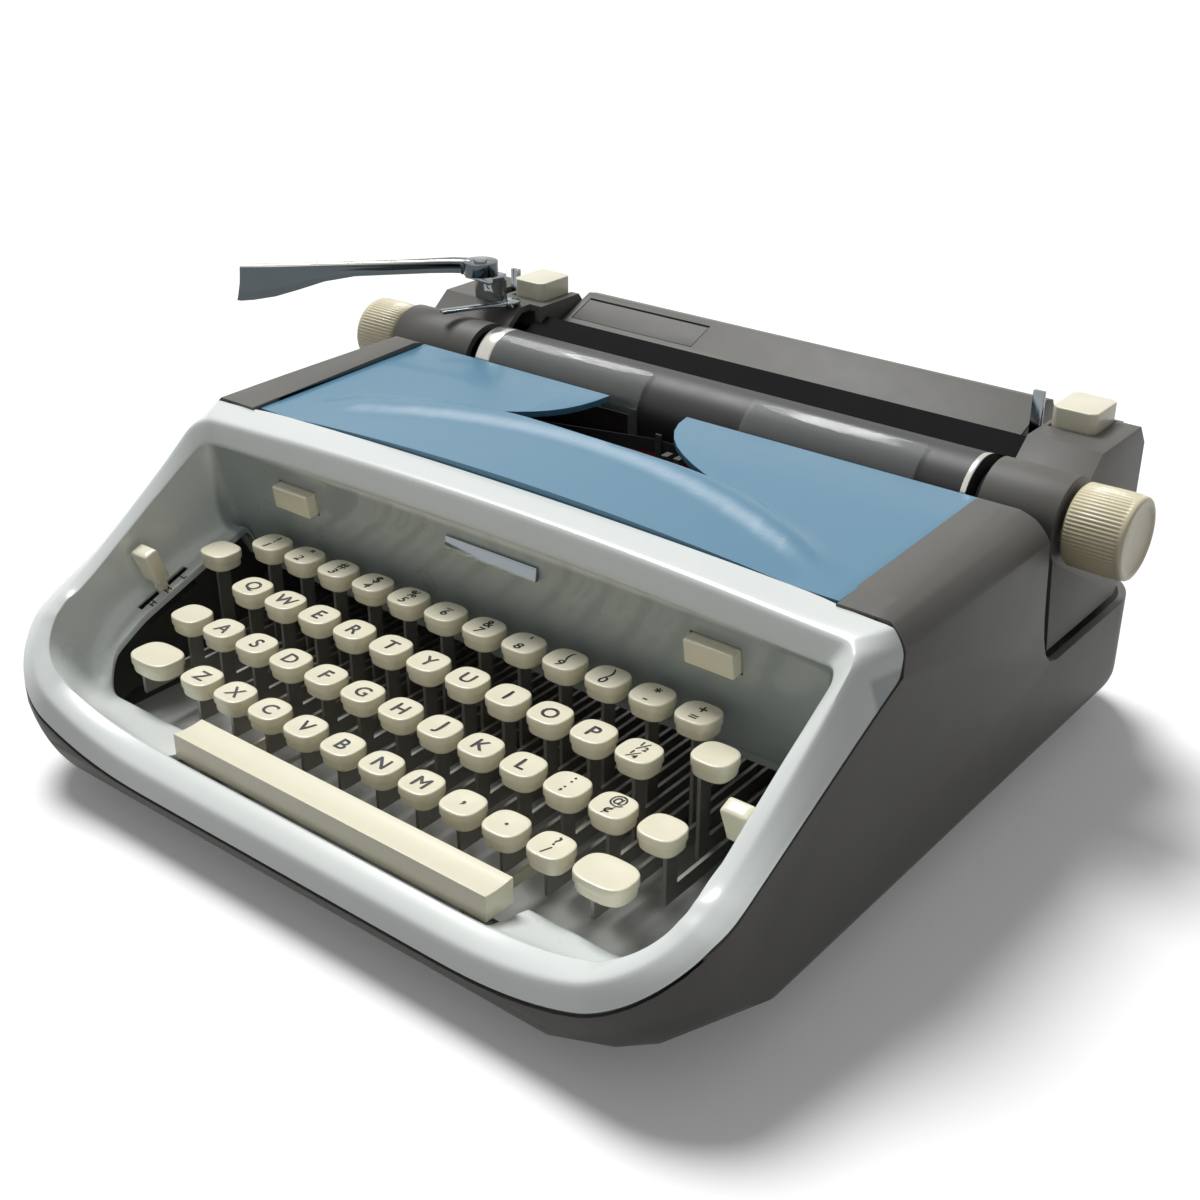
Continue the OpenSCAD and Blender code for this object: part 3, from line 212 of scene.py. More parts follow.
def cut(obj: Piece, *tools: Piece) -> None:
    """Cuts tools out of a piece and removes them.

    Args:
        obj: the piece.
        tools: closed meshes to take away.
    """
    for tool in tools:
        modify(obj, "BOOLEAN", operation="DIFFERENCE", object=tool, solver="MANIFOLD")
        bpy.data.objects.remove(tool)


def join(objs: Sequence[Piece]) -> Piece:
    """Joins meshes into the first one.

    Args:
        objs: the meshes.

    Returns:
        The first one.
    """
    pick(*objs)
    if len(objs) > 1:
        bpy.ops.object.join()
    return objs[0]


def cad_copy(node: str) -> Piece:
    """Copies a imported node's mesh, merged, about the middle of the case.

    Args:
        node: the node's name.

    Returns:
        The copy, with flat faces joined up.
    """
    mesh = frame["nodes"][node].data.copy()
    mesh.transform(Matrix.Translation(-SHIFT))
    obj = bpy.data.objects.new(node + "_shape", mesh)
    bpy.context.scene.collection.objects.link(obj)
    pick(obj)
    bpy.ops.mesh.customdata_custom_splitnormals_clear()
    flat = math.radians(FLAT_ANGLE)
    edit(obj, merge_doubles, lambda: bpy.ops.mesh.dissolve_limited(angle_limit=flat))
    return obj


def span(node: str) -> tuple[Vector, Vector]:
    """A node's lowest and highest corner about the case's middle, in millimetres."""
    lo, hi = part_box(node)
    return (lo - SHIFT) / MM, (hi - SHIFT) / MM


def islands(node: str) -> list[tuple[Vector, Vector]]:
    """Boxes of a node's separate solids, from left to right.

    Args:
        node: the node's name.

    Returns:
        Lowest and highest corners in millimetres.
    """
    obj = cad_copy(node)
    edit(obj, lambda: bpy.ops.mesh.separate(type="LOOSE"))
    parts = list(bpy.context.selected_objects)
    boxes = []
    for part in parts:
        cos = [v.co / MM for v in part.data.vertices]
        lo = Vector([min(c[i] for c in cos) for i in range(3)])
        hi = Vector([max(c[i] for c in cos) for i in range(3)])
        boxes.append((lo, hi))
        bpy.data.objects.remove(part)
    return sorted(boxes, key=lambda b: b[0].x)


def settle(
    obj: Piece, name: str, node: str, dress: "Dress", replaces: Sequence[str] = (), angle: float = 35.0
) -> None:
    """Puts a finished piece in the row's frame, dresses it and lets it ride.

    Args:
        obj: the piece, modelled about the middle of the case.
        name: its name.
        node: a node on the body that it rides, which also gives its slot.
        dress: its finish.
        replaces: nodes that it stands for.
        angle: edges sharper than this stay sharp.
    """
    obj.data.transform(Matrix.Translation(SHIFT))
    obj.name = name
    obj.data.name = name
    obj.data.materials.clear()
    obj.data.materials.append(dress.value.material())
    pick(obj)
    bpy.ops.object.shade_smooth_by_angle(angle=math.radians(angle))
    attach(obj, BODY_OF[node])
    if replaces:
        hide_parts(*replaces)
    LOG.info("%s rides on %s, %d faces", name, BODY_OF[node], len(obj.data.polygons))


def rounded(node: str, width: float, segments: int, angle: float) -> Piece:
    """Copies a node's mesh and rounds its edges.

    Args:
        node: the node's name.
        width: the rounding, in millimetres.
        segments: faces across it.
        angle: edges sharper than this are rounded.

    Returns:
        The copy.
    """
    obj = cad_copy(node)
    bevel(obj, width, segments, angle, use_clamp_overlap=True, miter_outer="MITER_ARC")
    return obj


def soften(node: str, dress: "Dress", width: float = 0.5, segments: int = 2, angle: float = 30.0) -> None:
    """Replaces a node by a copy with rounded edges.

    Args:
        node: the node's name.
        dress: its finish.
        width: the rounding, in millimetres.
        segments: faces across it.
        angle: edges sharper than this are rounded.
    """
    settle(rounded(node, width, segments, angle), node + "_dress", node, dress, [node])


def paint(node: str, dress: "Dress") -> None:
    """Gives a node that keeps its own shape a finish.

    Args:
        node: the node's name.
        dress: its finish.
    """
    mesh = frame["nodes"][node].data
    mesh.materials.clear()
    mesh.materials.append(dress.value.material())
    LOG.info("%s keeps its solid", node)


class Socket:
    """A node's output that takes part in Python sums."""

    def __init__(self, graph: "Graph", output: bpy.types.NodeSocket) -> None:
        """Keeps the graph and the output."""
        self.graph = graph
        self.output = output

    def _sum(self, operation: str, a: Value, b: Value) -> "Socket":
        """Adds one Math node."""
        return self.graph.node("ShaderNodeMath", {"operation": operation}, {0: a, 1: b})

    def __add__(self, other: Value) -> "Socket":
        """Adds."""
        return self._sum("ADD", self, other)

    __radd__ = __add__

    def __sub__(self, other: Value) -> "Socket":
        """Subtracts."""
        return self._sum("SUBTRACT", self, other)

    def __rsub__(self, other: Value) -> "Socket":
        """Is subtracted."""
        return self._sum("SUBTRACT", other, self)

    def __mul__(self, other: Value) -> "Socket":
        """Multiplies."""
        return self._sum("MULTIPLY", self, other)

    __rmul__ = __mul__


class Graph:
    """The node tree of a material or of the world."""

    def __init__(self, owner: Union[bpy.types.Material, bpy.types.World]) -> None:
        """Empties the owner's tree.

        Args:
            owner: the material or world.
        """
        self.owner = owner
        owner.use_nodes = True
        self.tree = owner.node_tree
        self.tree.nodes.clear()

    def node(
        self, kind: str, settings: dict = None, inputs: dict = None, output: Union[int, str] = 0
    ) -> Socket:
        """Adds a node.

        Args:
            kind: the node's type.
            settings: its properties, set first.
            inputs: values or links by socket name or number.
            output: the output that is wanted.

        Returns:
            That output, or None on a node without outputs.
        """
        made = self.tree.nodes.new(kind)
        for key, value in (settings or {}).items():
            setattr(made, key, value)
        for key, value in (inputs or {}).items():
            if isinstance(value, Socket):
                self.tree.links.new(value.output, made.inputs[key])
            else:
                made.inputs[key].default_value = value
        return Socket(self, made.outputs[output]) if made.outputs else None

    def place(self) -> Socket:
        """Object coordinates."""
        return self.node("ShaderNodeTexCoord", output="Object")

    def axis(self, name: str) -> Socket:
        """One of the object coordinates, X, Y or Z."""
        return self.node("ShaderNodeSeparateXYZ", None, {0: self.place()}, output=name)

    def noise(self, size: float, detail: float = 2.0, stretch: Point = (1, 1, 1)) -> Socket:
        """Noise with blots of a given size.

        Args:
            size: the size in millimetres.
            detail: finer layers.
            stretch: factors along the axes.

        Returns:
            Its value, from 0 to 1.
        """
        where = self.node(
            "ShaderNodeMapping", {"vector_type": "POINT"},
            {"Vector": self.place(), "Scale": tuple(stretch)},
        )
        return self.node(
            "ShaderNodeTexNoise", None, {"Vector": where, "Scale": 1.0 / (size * MM), "Detail": detail}
        )

    def blend(self, mask: Value, a: Union[tuple, Socket], b: Union[tuple, Socket]) -> Socket:
        """Mixes two colours by a mask."""
        return self.node("ShaderNodeMix", {"data_type": "RGBA"}, {0: mask, 6: a, 7: b}, output=2)

    def ramp(self, value: Socket, start: float, end: float) -> Socket:
        """Makes a soft step.

        Args:
            value: what the step follows.
            start: the value where the step is still 0.
            end: the value where it has come to 1.

        Returns:
            The step, from 0 to 1.
        """
        inputs = {"Value": value, "From Min": start, "From Max": end}
        return self.node("ShaderNodeMapRange", {"interpolation_type": "SMOOTHSTEP"}, inputs)

    def bump(self, height: Socket, depth: float, under: Socket = None) -> Socket:
        """Raises the surface.

        Args:
            height: heights from 0 to 1.
            depth: the depth in millimetres.
            under: normals to build on.

        Returns:
            The new normals.
        """
        inputs = {"Height": height, "Distance": depth * MM, "Strength": 1.0}
        if under is not None:
            inputs["Normal"] = under
        return self.node("ShaderNodeBump", None, inputs)

    def seen(self) -> Socket:
        """Tells what is seen from what only lights.

        Returns:
            1 for rays of the camera, of gloss and of clear pieces.
        """
        rays = ("Is Camera Ray", "Is Glossy Ray", "Is Transmission Ray")
        a, b, c = [self.node("ShaderNodeLightPath", output=ray) for ray in rays]
        return a + b + c

    def finish(self, shader: Socket, kind: str = "ShaderNodeOutputMaterial") -> bpy.types.ID:
        """Ends the tree with its output."""
        self.node(kind, None, {"Surface": shader})
        return self.owner


def tint(code: str) -> tuple[float, float, float, float]:
    """A screen colour such as 7ba3bf as linear light.

    Args:
        code: six hexadecimal digits.

    Returns:
        Red, green, blue and a full alpha.
    """
    parts = [int(code[i:i + 2], 16) / 255 for i in (0, 2, 4)]
    r, g, b = [p / 12.92 if p <= 0.04045 else ((p + 0.055) / 1.055) ** 2.4 for p in parts]
    return (r, g, b, 1.0)


_made: dict[str, bpy.types.Material] = {}


@dataclass(frozen=True)
class Finish:
    """A moulded, painted, plated or bare surface."""

    name: str
    color: str
    rough: float
    metallic: float = 0.0
    coat: float = 0.0
    shade: str = ""
    mottle: float = 26.0
    peel: float = 0.0
    grain: float = 0.0
    grain_size: float = 0.5
    smudge: float = 0.08
    specular: float = 0.5
    brushed: tuple = ()
    alpha: float = 1.0
    glow: float = 0.0
    coat_rough: float = 0.06
    # Sizes of worn spots, of haze, of brush marks and of the ripple in paint, in millimetres.
    wear_size: float = 9.0
    haze_size: float = 55.0
    brush_size: float = 2.0
    peel_size: float = 4.0
    brush_depth: float = 0.006

    def material(self) -> bpy.types.Material:
        """Makes the material once.

        Returns:
            The material.
        """
        if self.name not in _made:
            _made[self.name] = self.build(Graph(bpy.data.materials.new(self.name)))
        return _made[self.name]

    def tone(self, g: Graph) -> Socket:
        """The colour over the surface."""
        return g.blend(g.noise(self.mottle, detail=4.0), tint(self.color), tint(self.shade or self.color))

    def build(self, g: Graph) -> bpy.types.Material:
        """Builds the node tree.

        Args:
            g: the material's empty tree.

        Returns:
            The material.
        """
        wear = g.noise(self.wear_size, detail=5.0)
        if self.brushed:
            streak = g.noise(self.brush_size, detail=3.0, stretch=self.brushed)
        else:
            streak = g.noise(self.haze_size, detail=3.0)
        rough = self.rough + (wear - 0.5) * self.smudge + (streak - 0.5) * self.smudge
        inputs = {
            "Base Color": self.tone(g), "Roughness": rough, "Metallic": self.metallic,
            "Coat Weight": self.coat, "Coat Roughness": self.coat_rough, "Alpha": self.alpha,
            "Specular IOR Level": self.specular,
        }
        if self.glow:
            inputs["Emission Color"] = g.blend(g.seen(), (0, 0, 0, 1), (1, 1, 1, 1))
            inputs["Emission Strength"] = self.glow
        normal = None
        if self.peel:
            normal = g.bump(g.noise(self.peel_size, detail=1.0), self.peel)
        if self.grain:
            normal = g.bump(g.noise(self.grain_size), self.grain, normal)
        if self.brushed:
            normal = g.bump(streak, self.brush_depth, normal)
        if normal is not None:
            inputs["Normal"] = normal
        return g.finish(g.node("ShaderNodeBsdfPrincipled", None, inputs))


@dataclass(frozen=True)
class RibbonCloth(Finish):
    """Inked cloth, black above and red below."""

    middle: float = 97.0
    upper: str = "121214"
    lower: str = "b01422"

    def tone(self, g: Graph) -> Socket:
        """Two colours, split along the ribbon's middle line.

        Args:
            g: the material's tree.

        Returns:
            The colour over the surface.
        """
        above = {0: g.axis("Z"), 1: self.middle * MM}
        mask = g.node("ShaderNodeMath", {"operation": "GREATER_THAN"}, above)
        return g.blend(mask, tint(self.lower), tint(self.upper))


@dataclass(frozen=True)
class FrameLacquer(Finish):
    """Pale lacquer, with painted shade that makes it greyer on the recessed panel behind the keys."""

    # The panel's colour is painted shade: the same lacquer, darker where the recessed panel lies in shade.
    panel: str = "a2abaa"
    panel_shade_y: tuple = (-57.0, -54.0)
    panel_shade_z: tuple = (106.5, 103.5)

    def tone(self, g: Graph) -> Socket:
        """Blends painted shade in on the panel, below and behind the rim.

        Args:
            g: the material's tree.

        Returns:
            The colour over the surface.
        """
        behind = g.ramp(g.axis("Y"), *[y * MM + SHIFT.y for y in self.panel_shade_y])
        below = g.ramp(g.axis("Z"), *[z * MM for z in self.panel_shade_z])
        return g.blend(behind * below, super().tone(g), tint(self.panel))


@dataclass(frozen=True)
class FloorPaper(Finish):
    """White paper that throws little light back on the piece."""

    bounce: str = "787878"
    glow: float = 0.1

    def tone(self, g: Graph) -> Socket:
        """White where it is seen, darker where it only lights."""
        return g.blend(g.seen(), tint(self.bounce), super().tone(g))


class Dress(Enum):
    """The finishes of this machine and of the floor."""

    CASE = Finish("case_grey", "676662", 0.5, shade="5f5e5a", peel=0.02, grain=0.012, specular=0.25)
    PAN = Finish("pan_grey", "4a4a49", 0.55, shade="424241", grain=0.03)
    # The frame's pale lacquer, with painted shade on the recessed panel.
    FRAME = FrameLacquer(
        "bezel_white", "e6ebe8", 0.28, coat=0.4, shade="e0e6e4", peel=0.004, smudge=0.03
    )
    COVER = Finish("cover_blue", "5488a4", 0.34, coat=0.15, shade="5084a1", peel=0.02, grain=0.01)
    KEY = Finish("key_cream", "f3eed6", 0.3, coat=0.15, shade="ebe5cb", mottle=9.0, grain=0.01)
    KNOB = Finish("knob_cream", "e6dcbd", 0.36, coat=0.1, shade="dcd2b0", mottle=12.0, grain=0.012)
    STEEL = Finish("steel", "9a9a98", 0.34, metallic=0.9, shade="868684", mottle=14.0, brushed=(8, 1, 8))
    DULL = Finish("dull_steel", "6b6a67", 0.5, metallic=0.7, shade="55534f", mottle=10.0, grain=0.02)
    # Real chrome plating, its colour darkened to a painted dark reflection of a dark room.
    CHROME = Finish("chrome", "8f9598", 0.1, metallic=1.0, shade="868c8f", smudge=0.06)
    # Painted reflection: chrome darkened further, so that the return lever's blade shows the dark reflections
    # of a dark room.
    BLADE = Finish("chrome_painted_dark_reflection", "565d60", 0.12, metallic=1.0, shade="4f5659", smudge=0.06)
    # Real plating on the platen's bands, and a painted highlight on the roll along the return lever's upper
    # edge.
    PLATE = Finish("plating_and_painted_highlight", "d5d3cb", 0.2, metallic=0.9, shade="c9c6bc", smudge=0.06)
    LEVER = Finish(
        "lever_steel", "a3a19b", 0.38, metallic=0.65, shade="8d8b85", mottle=7.0, brushed=(8, 1, 8)
    )
    RUBBER = Finish("black_rubber", "1c1c1d", 0.5, shade="262627", grain=0.02, grain_size=0.35)
    # Dark plastic for the ribbon spools, and painted shade for the strip in the frame's seam.
    DARK = Finish("dark_plastic", "2c2c2c", 0.45, shade="242424", grain=0.02)
    # Painted shade: the paper apron is painted near black to stand for the shaded groove between the platen
    # and the rear cover.
    APRON = Finish("apron_painted_shade", "161616", 0.8, shade="1b1b1b", specular=0.06)
    WELL = Finish("well_grey", "b9bbb8", 0.5, shade="b0b2af", grain=0.02)
    CLEAR = Finish("clear_plastic", "a4aaa8", 0.1, coat=0.5, alpha=0.17)
    RIBBON = RibbonCloth("ribbon_cloth", "121214", 0.85, grain=0.05, grain_size=0.4)
    INK = Finish("ink", "1d1d1f", 0.5, shade="26262a", mottle=4.0)
    FLOOR = FloorPaper("floor", "ffffff", 0.9, shade="fcfcfc", smudge=0.02)


def graph_of(points: Sequence[Point], count: int = 60) -> Callable[[float], float]:
    """The height of a cubic curve over its first coordinate.

    Args:
        points: its four points.
        count: steps of the table.

    Returns:
        A function of the first coordinate, held at both ends.
    """
    table = []
    for i in range(count + 1):
        t, u = i / count, 1 - i / count
        shares = (u ** 3, 3 * u * u * t, 3 * u * t * t, t ** 3)
        table.append(tuple(sum(k * p[axis] for k, p in zip(shares, points)) for axis in (0, 1)))
    table.sort()
    return lambda x: steps(table, x)


def steps(table: Sequence[Point], x: float) -> float:
    """Linear interpolation in a table, held at both ends.

    Args:
        table: pairs in rising order.
        x: the place.

    Returns:
        The height there.
    """
    if x <= table[0][0]:
        return table[0][1]
    for (x0, y0), (x1, y1) in zip(table, table[1:]):
        if x <= x1:
            return y0 + (y1 - y0) * (x - x0) / max(x1 - x0, TINY)
    return table[-1][1]


def between(a: Point, b: Point, t: float) -> tuple[float, ...]:
    """A point part of the way from a to b."""
    return tuple(p + (q - p) * t for p, q in zip(a, b))


def ease(t: float) -> float:
    """A soft ramp from 0 to 1."""
    t = min(1.0, max(0.0, t))
    return t * t * (3 - 2 * t)


def soft_max(a: float, b: float, soft: float) -> float:
    """The larger of two heights, rounded over where they cross."""
    return (a + b + math.hypot(a - b, soft)) / 2


class Side(Enum):
    """The stretch of a ring that a station lies on."""

    BACK = 0
    BACK_CORNER = 1
    FLANK = 2
    FRONT_CORNER = 3
    FRONT = 4


Station = tuple[float, float, Side, float]


@dataclass(frozen=True)
class Ring:
    """A rounded rectangle in plan, walked in equal counts from its back left end."""

    half: float
    front: float
    back: float
    front_r: float
    back_r: float
    counts: tuple = (24, 8, 18, 14, 28)

    @property
    def back_half(self) -> float:
        """Half the length of the straight back."""
        return self.half - self.back_r

    def stations(self) -> list[Station]:
        """Points of the ring.

        Returns:
            x, y, the stretch, and the share of that stretch walked from the back.
        """
        n_back, n_bc, n_side, n_fc, n_front = self.counts
        right: list[Station] = []
        hb, hf = self.back_half, self.half - self.front_r
        y0, y1 = self.back - self.back_r, self.front + self.front_r
        for i in range(n_bc):
            a = math.pi / 2 * (1 - i / n_bc)
            x, y = hb + self.back_r * math.cos(a), y0 + self.back_r * math.sin(a)
            right.append((x, y, Side.BACK_CORNER, i / n_bc))
        for i in range(n_side):
            right.append((self.half, y0 + (y1 - y0) * i / n_side, Side.FLANK, i / n_side))
        for i in range(n_fc + 1):
            a = -math.pi / 2 * i / n_fc
            x, y = hf + self.front_r * math.cos(a), y1 + self.front_r * math.sin(a)
            right.append((x, y, Side.FRONT_CORNER, i / n_fc))
        front = [(hf - 2 * hf * i / n_front, self.front, Side.FRONT, 0.5) for i in range(1, n_front)]
        left = [(-x, y, s, t) for x, y, s, t in reversed(right)]
        back = [(-hb + 2 * hb * i / n_back, self.back, Side.BACK, 0.5) for i in range(1, n_back)]
        return back + right + front + left


def squarish(hw: float, hd: float, z: float, points: int, power: float) -> Row:
    """One level ring between an ellipse and a rectangle, about the origin.

    Args:
        hw: half its width.
        hd: half its depth.
        z: its height.
        points: its count of points.
        power: 2 is an ellipse, more is squarer.

    Returns:
        Points in millimetres.
    """
    out = []
    for k in range(points):
        a = math.tau * (k + 0.5) / points
        c, s = math.cos(a), math.sin(a)
        x, y = [math.copysign(abs(v) ** (2 / power), v) for v in (c, s)]
        out.append((hw * x, hd * y, z))
    return out


def lettering(text: str, size: float, copies: int = 6, weight: float = 0.022) -> Piece:
    """Flat bold characters about the origin.

    Args:
        text: one or two lines.
        size: their size in millimetres.
        copies: shifted copies that thicken the strokes.
        weight: how far they are shifted, as a share of the size.

    Returns:
        The characters as a mesh.
    """
    pick()
    bpy.ops.object.text_add()
    data = bpy.context.object.data
    data.body = text
    data.size = size * MM
    data.space_line = 0.9
    data.align_x = "CENTER"
    data.align_y = "CENTER"
    data.resolution_u = 3
    bpy.ops.object.convert(target="MESH")
    obj = bpy.context.object
    cos = [v.co for v in obj.data.vertices]
    mid = [(min(c[i] for c in cos) + max(c[i] for c in cos)) / 2 for i in (0, 1)]
    obj.data.transform(Matrix.Translation((-mid[0], -mid[1], 0)))
    strokes = [obj]
    for turn in range(copies):
        stroke = obj.copy()
        stroke.data = obj.data.copy()
        bpy.context.scene.collection.objects.link(stroke)
        a = math.tau * turn / copies
        shift = Vector((math.cos(a), math.sin(a), 0)) * weight * size * MM
        stroke.data.transform(Matrix.Translation(shift))
        strokes.append(stroke)
    return join(strokes)


@dataclass
class KeyboardFrame:
    """The pale moulded frame round the keys, with its panel, ledge and lip."""

    seam: Ring = Ring(163.0, -160.0, -41.2, 34.0, 2.0)
    crest: Ring = Ring(156.0, -158.0, -53.5, 30.0, 8.0)
    inner: Ring = Ring(149.5, -149.5, -55.8, 20.0, 7.0)
    foot: Ring = Ring(147.5, -146.5, -46.5, 40.0, 9.0)
    ledge: Ring = Ring(137.0, -128.0, -46.0, 10.0, 5.0)
    strip: Ring = Ring(161.8, -158.8, -41.2, 32.8, 2.0)
    wall: float = 2.5
    flank_z: Callable[[float], float] = graph_of(((-41, 101), (-73, 87), (-112, 66), (-139, 54)))
    front_z: Callable[[float], float] = graph_of(((75, 20), (120.6, 20), (150, 36), (161, 54)))
    flank_end: float = -139.0
    seam_gap: float = 1.3
    # The seam behind: its height, rise in the middle, fall at the corners and step beside the cover.
    back_z: float = 117.4
    back_rise: tuple = (2.8, 135.0)
    back_fall: float = 15.1
    back_y: float = -37.9
    back_step: tuple = (3.3, 132.0, 5.0)
    back_draw: float = 158 / 161
    # The case's rounded shoulder: its middle in x and z, and its radius.
    shoulder: tuple = (146.0, 104.0, 18.0)
    # The crest: its line down the flanks, its clearance of the seam and its bow behind.
    crest_line: tuple = (
        (-158.0, 28.6), (-150.0, 42.0), (-144.7, 46.8), (-138.0, 52.0), (-126.6, 61.3), (-115.2, 69.5),
        (-104.0, 77.8), (-90.5, 87.6), (-76.2, 98.2), (-68.0, 104.6), (-61.9, 109.8), (-57.0, 113.4),
        (-53.5, 114.8),
    )
    clear_flank: float = 1.9
    clear_front: float = 8.0
    soft: float = 3.0
    crest_bow: tuple = (1.5, 119.2, 4.4)
    # The inner edge of the band: its drop on the flanks, rise in front and bow behind.
    drop: tuple = ((-124.0, 0.6), (-105.0, 1.2), (-86.0, 2.6), (-70.0, 5.0), (-62.0, 7.0))
    corner_sink: float = 0.6
    front_rise: float = 4.0
    inner_bow: tuple = (0.6, 108.4, 3.4)
    # The tuck under that edge: outwards near the front and near the back, where and over which run
    # the one passes into the other, backwards on the panel, and down.
    tuck: tuple = (0.15, 1.2)
    tuck_run: tuple = (-100.0, 35.0)
    tuck_back: float = 2.2
    tuck_down: float = 0.9
    # The ledge's heights over y, its foot against the wall, and the panel's and the lip's own.
    shelf: tuple = ((-150.0, 31.6), (-131.0, 31.5), (-122.0, 40.0), (-105.0, 50.0), (-47.0, 71.0))
    foot_lift: float = 1.0
    lip_lift: float = 0.4
    lip_y: float = -131.0
    panel_foot: float = 57.0
    panel_ledge: float = 56.0
    lip_z: float = 27.5
    hem: float = 3.0
    bulge: tuple = (0.45, 0.12)
    swell: float = 0.5
    # Openings: middles and half sizes.
    buttons: tuple = ((-100.5, -51.2, 92.7), (100.5, -51.2, 92.7))
    button_hole: tuple = (10.4, 9.0, 5.15)
    button_tilt: float = 8.28
    slot_hole: tuple = (1.5, 13.0, 8.0)
    bar_hole: tuple = ((-70.0, -148.3, 15.0), (85.0, -123.3, 39.0))
    # Trim: letters on the ledge, a dark strip of painted shade in the seam, linings of the slots, bar on the
    # panel.
    marks: tuple = (("L", -138.85, -83.0), ("M", -138.85, -91.0), ("H", -138.85, -99.0), ("S", 138.85, -91.0))
    mark_size: float = 3.6
    mark_lift: float = 0.2
    mark_reach: float = 2.5
    mark_from: float = 90.0
    strip_lifts: tuple = (-3.2, -1.4, 0.2)
    strip_inset: float = 1.2
    strip_back: tuple = (-40.9, 0.7)
    strip_gauge: float = 0.5
    lining_size: tuple = (1.48, 12.95)
    lining_levels: tuple = (-8.0, -4.0, -0.3)
    lining_gauge: float = 0.4
    bar_box: tuple = ((-19.6, -53.9, 94.8), (25.0, -51.4, 100.9))
    bar_inset: tuple = (0.7, -0.35)
    bar_edge: float = 0.25

    def slots(self) -> list[tuple[float, float, float]]:
        """Middles of the left and the right slot."""
        x, y, z = SLOT_PLACE
        return [(-x, y, z), (x, y, z)]

    def skin(self, z: float) -> float:
        """Half width of the case's rounded shoulder at a height.

        Args:
            z: the height.

        Returns:
            The half width.
        """
        x, mid, r = self.shoulder
        if z <= mid:
            return self.seam.half
        return min(self.seam.half, x + math.sqrt(max(0.0, r * r - (z - mid) ** 2)))

    def seam_z(self, x: float, y: float) -> float:
        """Height of the seam with the case."""
        return self.seam_gap + (self.flank_z(y) if y > self.flank_end else self.front_z(abs(x)))

    def crest_z(self, y: float) -> float:
        """Height of the crest on the flanks, kept softly clear of the seam."""
        clear = self.flank_z(max(y, self.flank_end)) + self.seam_gap + self.clear_flank
        return soft_max(steps(self.crest_line, y), clear, self.soft)

    def bow(self, x: float, y: float, ring: Ring, shape: tuple) -> tuple[float, float, float]:
        """A point of a ring's back, which bows backwards and upwards in its middle.

        Args:
            x: the station's place.
            y: the station's place.
            ring: the ring.
            shape: the bow, the height in the middle and the fall to the corners.

        Returns:
            The point in millimetres.
        """
        back, top, fall = shape
        u = (x / ring.back_half) ** 2
        return (x, y + back * (1 - u), top - fall * u)

    def seam_row(self) -> Row:
        """The seam with the case and the cover.

        Returns:
            Points in millimetres.
        """
        row = []
        rise, rise_half = self.back_rise
        step, step_x, step_run = self.back_step
        for x, y, side, t in self.seam.stations():
            if side is Side.BACK:
                x *= self.back_draw
                back = self.back_y - step * ease((abs(x) - step_x) / step_run)
                row.append((x, back, self.back_z + rise * max(0.0, 1 - (x / rise_half) ** 2)))
            elif side is Side.BACK_CORNER:
                z = self.back_z - self.back_fall * ease(t)
                row.append((math.copysign(self.skin(z), x), y, z))
            else:
                row.append((x, y, self.seam_z(x, y)))
        return row

    def crest_row(self, seam: Row) -> Row:
        """The crest of the rim.

        Args:
            seam: the seam below it.

        Returns:
            Points in millimetres.
        """
        row = []
        for (x, y, side, t), under in zip(self.crest.stations(), seam):
            if side is Side.BACK:
                row.append(self.bow(x, y, self.crest, self.crest_bow))
            elif side in (Side.FRONT, Side.FRONT_CORNER):
                rise = 1.0 if side is Side.FRONT else ease(t)
                clear = under[2] + self.clear_flank + (self.clear_front - self.clear_flank) * rise
                row.append((x, y, soft_max(steps(self.crest_line, y), clear, self.soft * (1 - rise))))
            else:
                row.append((x, y, self.crest_z(y)))
        return row

    def inner_row(self, crest: Row) -> Row:
        """The inner edge of the rim's band.

        Args:
            crest: the crest beside it.

        Returns:
            Points in millimetres.
        """
        row = []
        corner = self.inner_bow[1] - self.inner_bow[2]
        for (x, y, side, t), base in zip(self.inner.stations(), crest):
            if side is Side.BACK:
                row.append(self.bow(x, y, self.inner, self.inner_bow))
            elif side in (Side.FRONT, Side.FRONT_CORNER):
                rise = 1.0 if side is Side.FRONT else ease(t)
                row.append((x, y, base[2] - self.corner_sink + (self.corner_sink + self.front_rise) * rise))
            else:
                flank = self.crest_z(y) - steps(self.drop, y)
                row.append((x, y, flank if side is Side.FLANK else corner + (flank - corner) * ease(t)))
        return row

    def tuck_row(self, inner: Row) -> Row:
        """The tuck just under the band's inner edge.

        Args:
            inner: that edge.

        Returns:
            Points in millimetres.
        """
        row = []
        for (x, y, z), (_, _, side, t) in zip(inner, self.inner.stations()):
            turn = math.pi / 2 * {Side.BACK: 0.0, Side.BACK_CORNER: t}.get(side, 1.0)
            fade = {Side.FRONT: 0.0, Side.FRONT_CORNER: 1 - ease(t)}.get(side, 1.0)
            near, far = self.tuck
            out = near + (far - near) * ease((y - self.tuck_run[0]) / self.tuck_run[1])
            out = math.copysign(out * math.sin(turn) * fade, x)
            row.append((x + out, y + self.tuck_back * math.cos(turn), z - self.tuck_down * fade))
        return row

    def foot_z(self, y: float, side: Side, t: float) -> float:
        """Height of the rim's inner wall at its foot.

        Args:
            y: the station's place.
            side: its stretch.
            t: the share of that stretch.

        Returns:
            The height.
        """
        level = steps(self.shelf, y)
        if side is Side.BACK:
            return self.panel_foot
        if side is Side.BACK_CORNER:
            return self.panel_foot + (level + self.foot_lift - self.panel_foot) * ease(t)
        return level + (self.foot_lift if y > self.lip_y else self.lip_lift)

